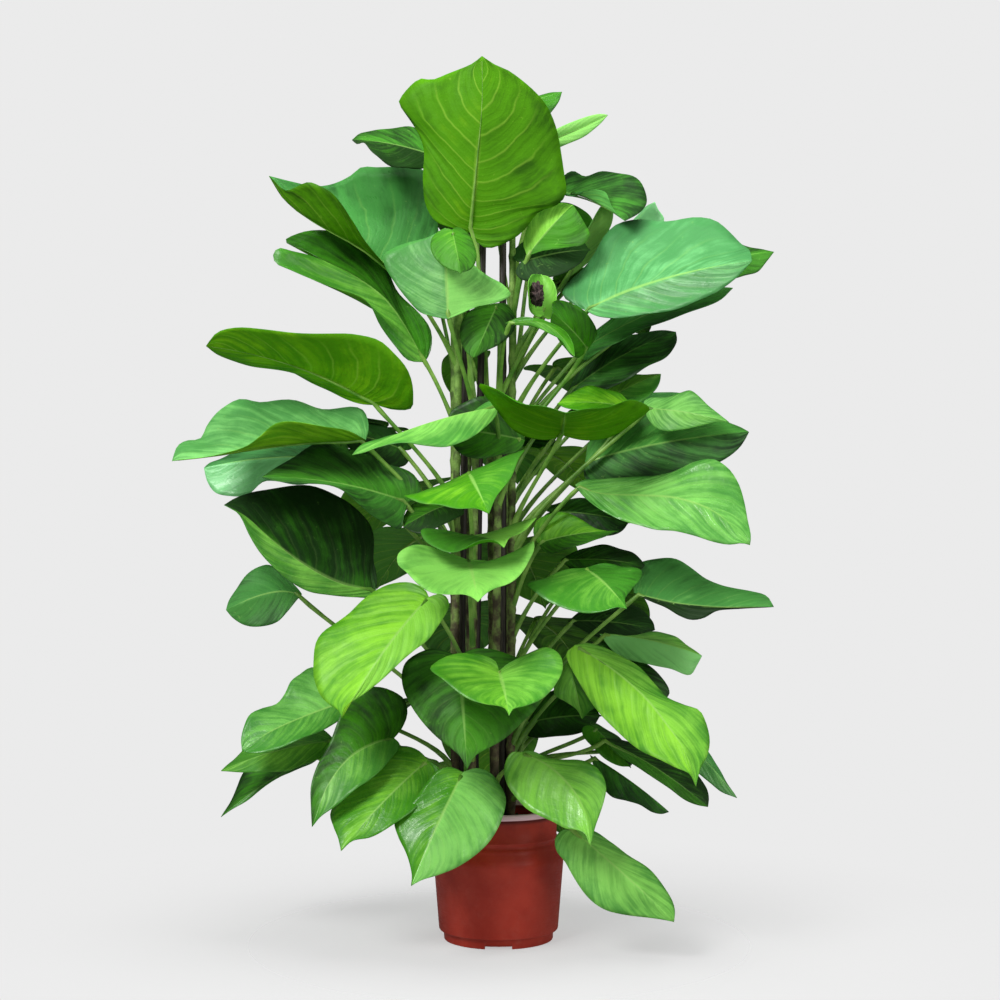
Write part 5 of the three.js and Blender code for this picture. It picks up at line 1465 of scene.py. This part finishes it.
cane_look = cane_finish()
for name, (foot, top) in CANES.items():
    foot, top = Vector(foot) * MM, Vector(top) * MM
    knots = [chance.uniform(*FIRST_KNOT) + KNOT_SPACING * k for k in range(KNOTS)]
    points = []
    for step in range(CANE_STEPS + 1):
        share = step / CANE_STEPS
        knot = max(math.exp(-(((share - k) / KNOT_WIDTH) ** 2)) for k in knots)
        radius = CANE_RADIUS * (1 + KNOT_SWELL * knot - CANE_TAPER * share)
        points.append((foot.lerp(top, share), radius))
    add_piece(name + "_bamboo", tube_mesh(name, [(points, 0)], 4, [cane_look]), [], name)

# %% [markdown]
# ## The pot
#
# A nursery pot is blown or pressed from thin plastic. Its section is one line: a foot with a step, a
# tapering body, a rounded shoulder, an upright collar with a faint ridge, and a thick rim. The line is
# drawn once and spun round the axis, which makes the pot round and its wall the same on all sides.

# %% Pot
POT_STEPS = 120
WELD = 0.01 * MM
POT_LINE = (
    (0, 0), (16, 0), (16, 5), (66, 5), (66, 0), (74.5, 0), (75, 1), (75.4, 11.5), (76, 12.5),
    (81, 13.5), (82, 15), (89.8, 108), (90, 111), (89.5, 114), (87.8, 118.5), (84.5, 124), (83.5, 127),
    (83.2, 129), (81.5, 131), (80.2, 133), (80.1, 137), (81.2, 138), (81.2, 140), (80.3, 141),
    (80.5, 168.5), (81, 169.5), (83.3, 170.2), (84, 171.5), (84, 176.5), (83.5, 177.6), (82, 178),
    (80, 178), (78.9, 177.2), (78.5, 176), (77.5, 130), (86.5, 110), (78.5, 16), (72.5, 8), (0, 8),
)


def spun(line):
    """A round body whose section is a line of radii and heights"""
    maker = bmesh.new()
    verts = [maker.verts.new((radius, 0, height)) for radius, height in line]
    section = verts + [maker.edges.new(pair) for pair in zip(verts, verts[1:])]
    bmesh.ops.spin(maker, geom=section, cent=(0, 0, 0), axis=(0, 0, 1), angle=math.tau,
                   steps=POT_STEPS, use_merge=True)
    bmesh.ops.remove_doubles(maker, verts=maker.verts, dist=WELD)
    bmesh.ops.recalc_face_normals(maker, faces=maker.faces)
    return maker


def pot_body():
    return mesh_from(spun([(radius * MM, height * MM) for radius, height in POT_LINE]), "pot_shell")


print("points of the pot's section:", len(POT_LINE))

# %% [markdown]
# Water leaves through holes in the pot's floor and notches in its foot. Boxes and cylinders are put where
# nothing should be, and a Boolean modifier takes them away from the pot in one go.

# %% Notches and drain holes
NOTCHES = 3
NOTCH = Vector((27, 36, 8)) * MM
FOOT_RADIUS = 75 * MM
DRAIN_RING, DRAIN_RADIUS = 46 * MM, 6 * MM
DRAIN_STEPS = 20


def pot_cutter():
    maker = bmesh.new()
    for k in range(NOTCHES):
        angle = math.tau * k / NOTCHES - math.pi / 2
        turn = Matrix.Rotation(angle, 4, "Z")
        box = turn @ Matrix.Translation((FOOT_RADIUS, 0, 0)) @ Matrix.Diagonal((*NOTCH, 1))
        bmesh.ops.create_cube(maker, size=1, matrix=box)
        hole = turn @ Matrix.Translation((DRAIN_RING, 0, 0))
        bmesh.ops.create_cone(maker, cap_ends=True, segments=DRAIN_STEPS, radius1=DRAIN_RADIUS,
                              radius2=DRAIN_RADIUS, depth=NOTCH.x, matrix=hole)
    return mesh_from(maker, "pot_cutter")


def cut(mesh, cutter_mesh):
    """The mesh with the cutter taken away, by a Boolean modifier that is applied at once"""
    body = bpy.data.objects.new("body", mesh)
    cutter = bpy.data.objects.new("cutter", cutter_mesh)
    for each in (body, cutter):
        bpy.context.collection.objects.link(each)
    saw = body.modifiers.new("cut", "BOOLEAN")
    saw.operation = "DIFFERENCE"
    saw.solver = "EXACT"
    saw.object = cutter
    depsgraph = bpy.context.evaluated_depsgraph_get()
    result = bpy.data.meshes.new_from_object(body.evaluated_get(depsgraph))
    for each in (body, cutter):
        bpy.data.objects.remove(each)
    result.materials.clear()
    return result


print(f"to cut: {NOTCHES} notches and {NOTCHES} drain holes")

# %% [markdown]
# The plastic is a red-brown with a soft sheen. It is scuffed and a little dusty at the foot. A painted
# shadow darkens the collar just under the rim, a painted highlight makes the rim's top edge pale pink,
# and the moulding leaves a very fine grain.

# %% Pot finish
DUST_TOP = 30 * MM
SHADE_START, SHADE_FULL = 163 * MM, 168.5 * MM
RIM_START, RIM_FULL = 169.5 * MM, 171 * MM
SHADE_LAST = 169 * MM


def pot_finish():
    tree = Tree("pot_plastic")
    place = tree.object_place()
    height = tree.add("ShaderNodeSeparateXYZ", {"Vector": place}, output=2)
    cloud = tree.noise(14.0, 5.0, 0.6, place)
    colour = tree.mix(tree.fade(cloud, 0.3, 0.7), (0.33, 0.02, 0.008, 1), (0.46, 0.04, 0.02, 1))
    dust = tree.times(tree.fade(tree.noise(70.0, 6.0, 0.7, place), 0.45, 0.75), 0.12)
    low = tree.fade(height, DUST_TOP, 0.0, 0.3, 1.0)
    colour = tree.mix(tree.times(dust, low), colour, (0.45, 0.3, 0.24, 1))
    # Painted shadow under the rim: the collar darkens up to just below the rim's edge
    leaving = tree.fade(height, RIM_FULL, SHADE_LAST, 0.0, 0.75)
    shade = tree.times(tree.fade(height, SHADE_START, SHADE_FULL), leaving)
    colour = tree.mix(shade, colour, (0.03, 0.003, 0.003, 1))
    # Painted highlight: the top edge of the rim turns pale pink
    rim_highlight = tree.fade(height, RIM_START, RIM_FULL, 0.0, 0.95)
    colour = tree.mix(rim_highlight, colour, (0.95, 0.66, 0.72, 1))
    stretched = tree.add("ShaderNodeMapping", {"Vector": place, "Scale": (1, 1, 6)})
    scuffs = tree.noise(90.0, 4.0, 0.6, stretched)
    rough = tree.fade(scuffs, 0.3, 0.7, 0.38, 0.55)
    normal = tree.bump(tree.noise(900.0, 2.0, 0.5, place), 0.1 * MM, 0.5)
    return tree.finish(Base_Color=colour, Roughness=rough, Normal=normal, Specular_IOR_Level=0.3)


add_piece("pot_shell", cut(pot_body(), pot_cutter()), [pot_finish()], "pot")

# %% [markdown]
# ## The soil
#
# Potting mix is crumbs of peat and chips of bark, heaped a little round the stems. The body is spun like
# the pot, with many rings on top so that noise can roughen it, and loose chips are scattered over it.
# The colour is dark brown with faint green patches, as damp soil gets.

# %% Soil
SOIL_EDGE = 160 * MM
SOIL_RADIUS = 77.2 * MM
SOIL_RINGS = 44
SOIL_WALL = ((77.2, 129.7), (86.2, 110), (78.2, 16.3), (72.2, 8.3), (0, 8.3))
LUMPS = ((2.2, 60, 0), (1.6, 160, 3), (0.9, 420, 7))
SOIL_SINK = 2 * MM
CHIPS = 420
CHIP_SIZES = ((1.2, 4.2), (0.9, 2.6), (0.6, 1.5))
CHIP_TILT = (-0.4, 0.4)
CHIP_LIFT = 0.4 * MM


def soil_height(x, y):
    level = SOIL_EDGE + (SOIL_MIDDLE - SOIL_EDGE) * (1 - min(1, math.hypot(x, y) / SOIL_RADIUS))
    lumps = sum(depth * noise.noise(Vector((x, y, layer)) * scale) for depth, scale, layer in LUMPS)
    return level + lumps * MM - SOIL_SINK


def soil_body():
    line = [(SOIL_RADIUS * k / SOIL_RINGS, SOIL_EDGE) for k in range(SOIL_RINGS + 1)]
    line += [(radius * MM, height * MM) for radius, height in SOIL_WALL]
    maker = spun(line)
    for vert in maker.verts:
        if abs(vert.co.z - SOIL_EDGE) < WELD:
            vert.co.z = soil_height(vert.co.x, vert.co.y)
    for _ in range(CHIPS):
        radius = SOIL_RADIUS * 0.95 * math.sqrt(chance.random())
        angle = chance.uniform(0, math.tau)
        x, y = radius * math.cos(angle), radius * math.sin(angle)
        size = Vector([chance.uniform(*limits) for limits in CHIP_SIZES]) * MM
        turn = Euler([chance.uniform(*limits) for limits in (CHIP_TILT, CHIP_TILT, (0, math.tau))])
        spot = Matrix.LocRotScale((x, y, soil_height(x, y) + CHIP_LIFT), turn, size)
        bmesh.ops.create_icosphere(maker, subdivisions=1, radius=1, matrix=spot)
    return mesh_from(maker, "soil_heap")


def soil_finish():
    tree = Tree("potting_mix")
    place = tree.object_place()
    crumbs = tree.noise(300.0, 6.0, 0.7, place)
    patches = tree.noise(60.0, 4.0, 0.6, place)
    colour = tree.mix(tree.fade(crumbs, 0.35, 0.65), (0.012, 0.008, 0.005, 1), (0.09, 0.055, 0.03, 1))
    colour = tree.mix(tree.fade(patches, 0.6, 0.72, 0.0, 0.5), colour, (0.04, 0.07, 0.012, 1))
    return tree.finish(Base_Color=colour, Roughness=0.95, Normal=tree.bump(crumbs, 1.5 * MM))


add_piece("soil_heap", soil_body(), [soil_finish()], "soil")

# %% [markdown]
# ## The floor
#
# The floor is stage: it shows the contact shadow and isn't part of the object. The photo's shadow is faint
# and its sweep of paper has no horizon, so the floor is partly see-through and gives way to the backdrop
# in a wide soft ring.

# %% Floor
FLOOR_SIZE = 60
FLOOR_FADE = (0.15, 0.9)
FLOOR_DEPTH = 0.42

maker = bmesh.new()
bmesh.ops.create_grid(maker, x_segments=1, y_segments=1, size=FLOOR_SIZE / 2)
floor = bpy.data.objects.new("floor", mesh_from(maker, "floor"))
bpy.context.collection.objects.link(floor)
floor_tree = Tree("floor")
floor_grain = floor_tree.noise(3.0, 3.0, 0.5)
floor_place = floor_tree.object_place()
floor_reach = floor_tree.add("ShaderNodeVectorMath", {0: floor_place}, output=1, operation="LENGTH")
floor_tree.finish(
    Base_Color=floor_tree.mix(floor_grain, (0.6, 0.6, 0.6, 1), (0.63, 0.63, 0.63, 1)),
    Alpha=floor_tree.fade(floor_reach, FLOOR_FADE[0], FLOOR_FADE[1], FLOOR_DEPTH, 0.0),
    Roughness=0.9, Specular_IOR_Level=0.0,
)
floor.data.materials.append(floor_tree.material)
floor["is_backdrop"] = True
print("floor laid")

# %% [markdown]
# ## The sizes
#
# The box of the finished pieces is printed beside the CAD model's box; the curl of the leaves may make
# them differ by a few millimetres. The finished pieces have to fill the same box as the CAD model,
# give or take a few millimetres of curl.

# %% Write the sizes
visual_box = [list(corner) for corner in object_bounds()]
for label, corners in (("CAD", cad_box), ("visual", visual_box)):
    print(label, [[round(value, 4) for value in corner] for corner in corners])
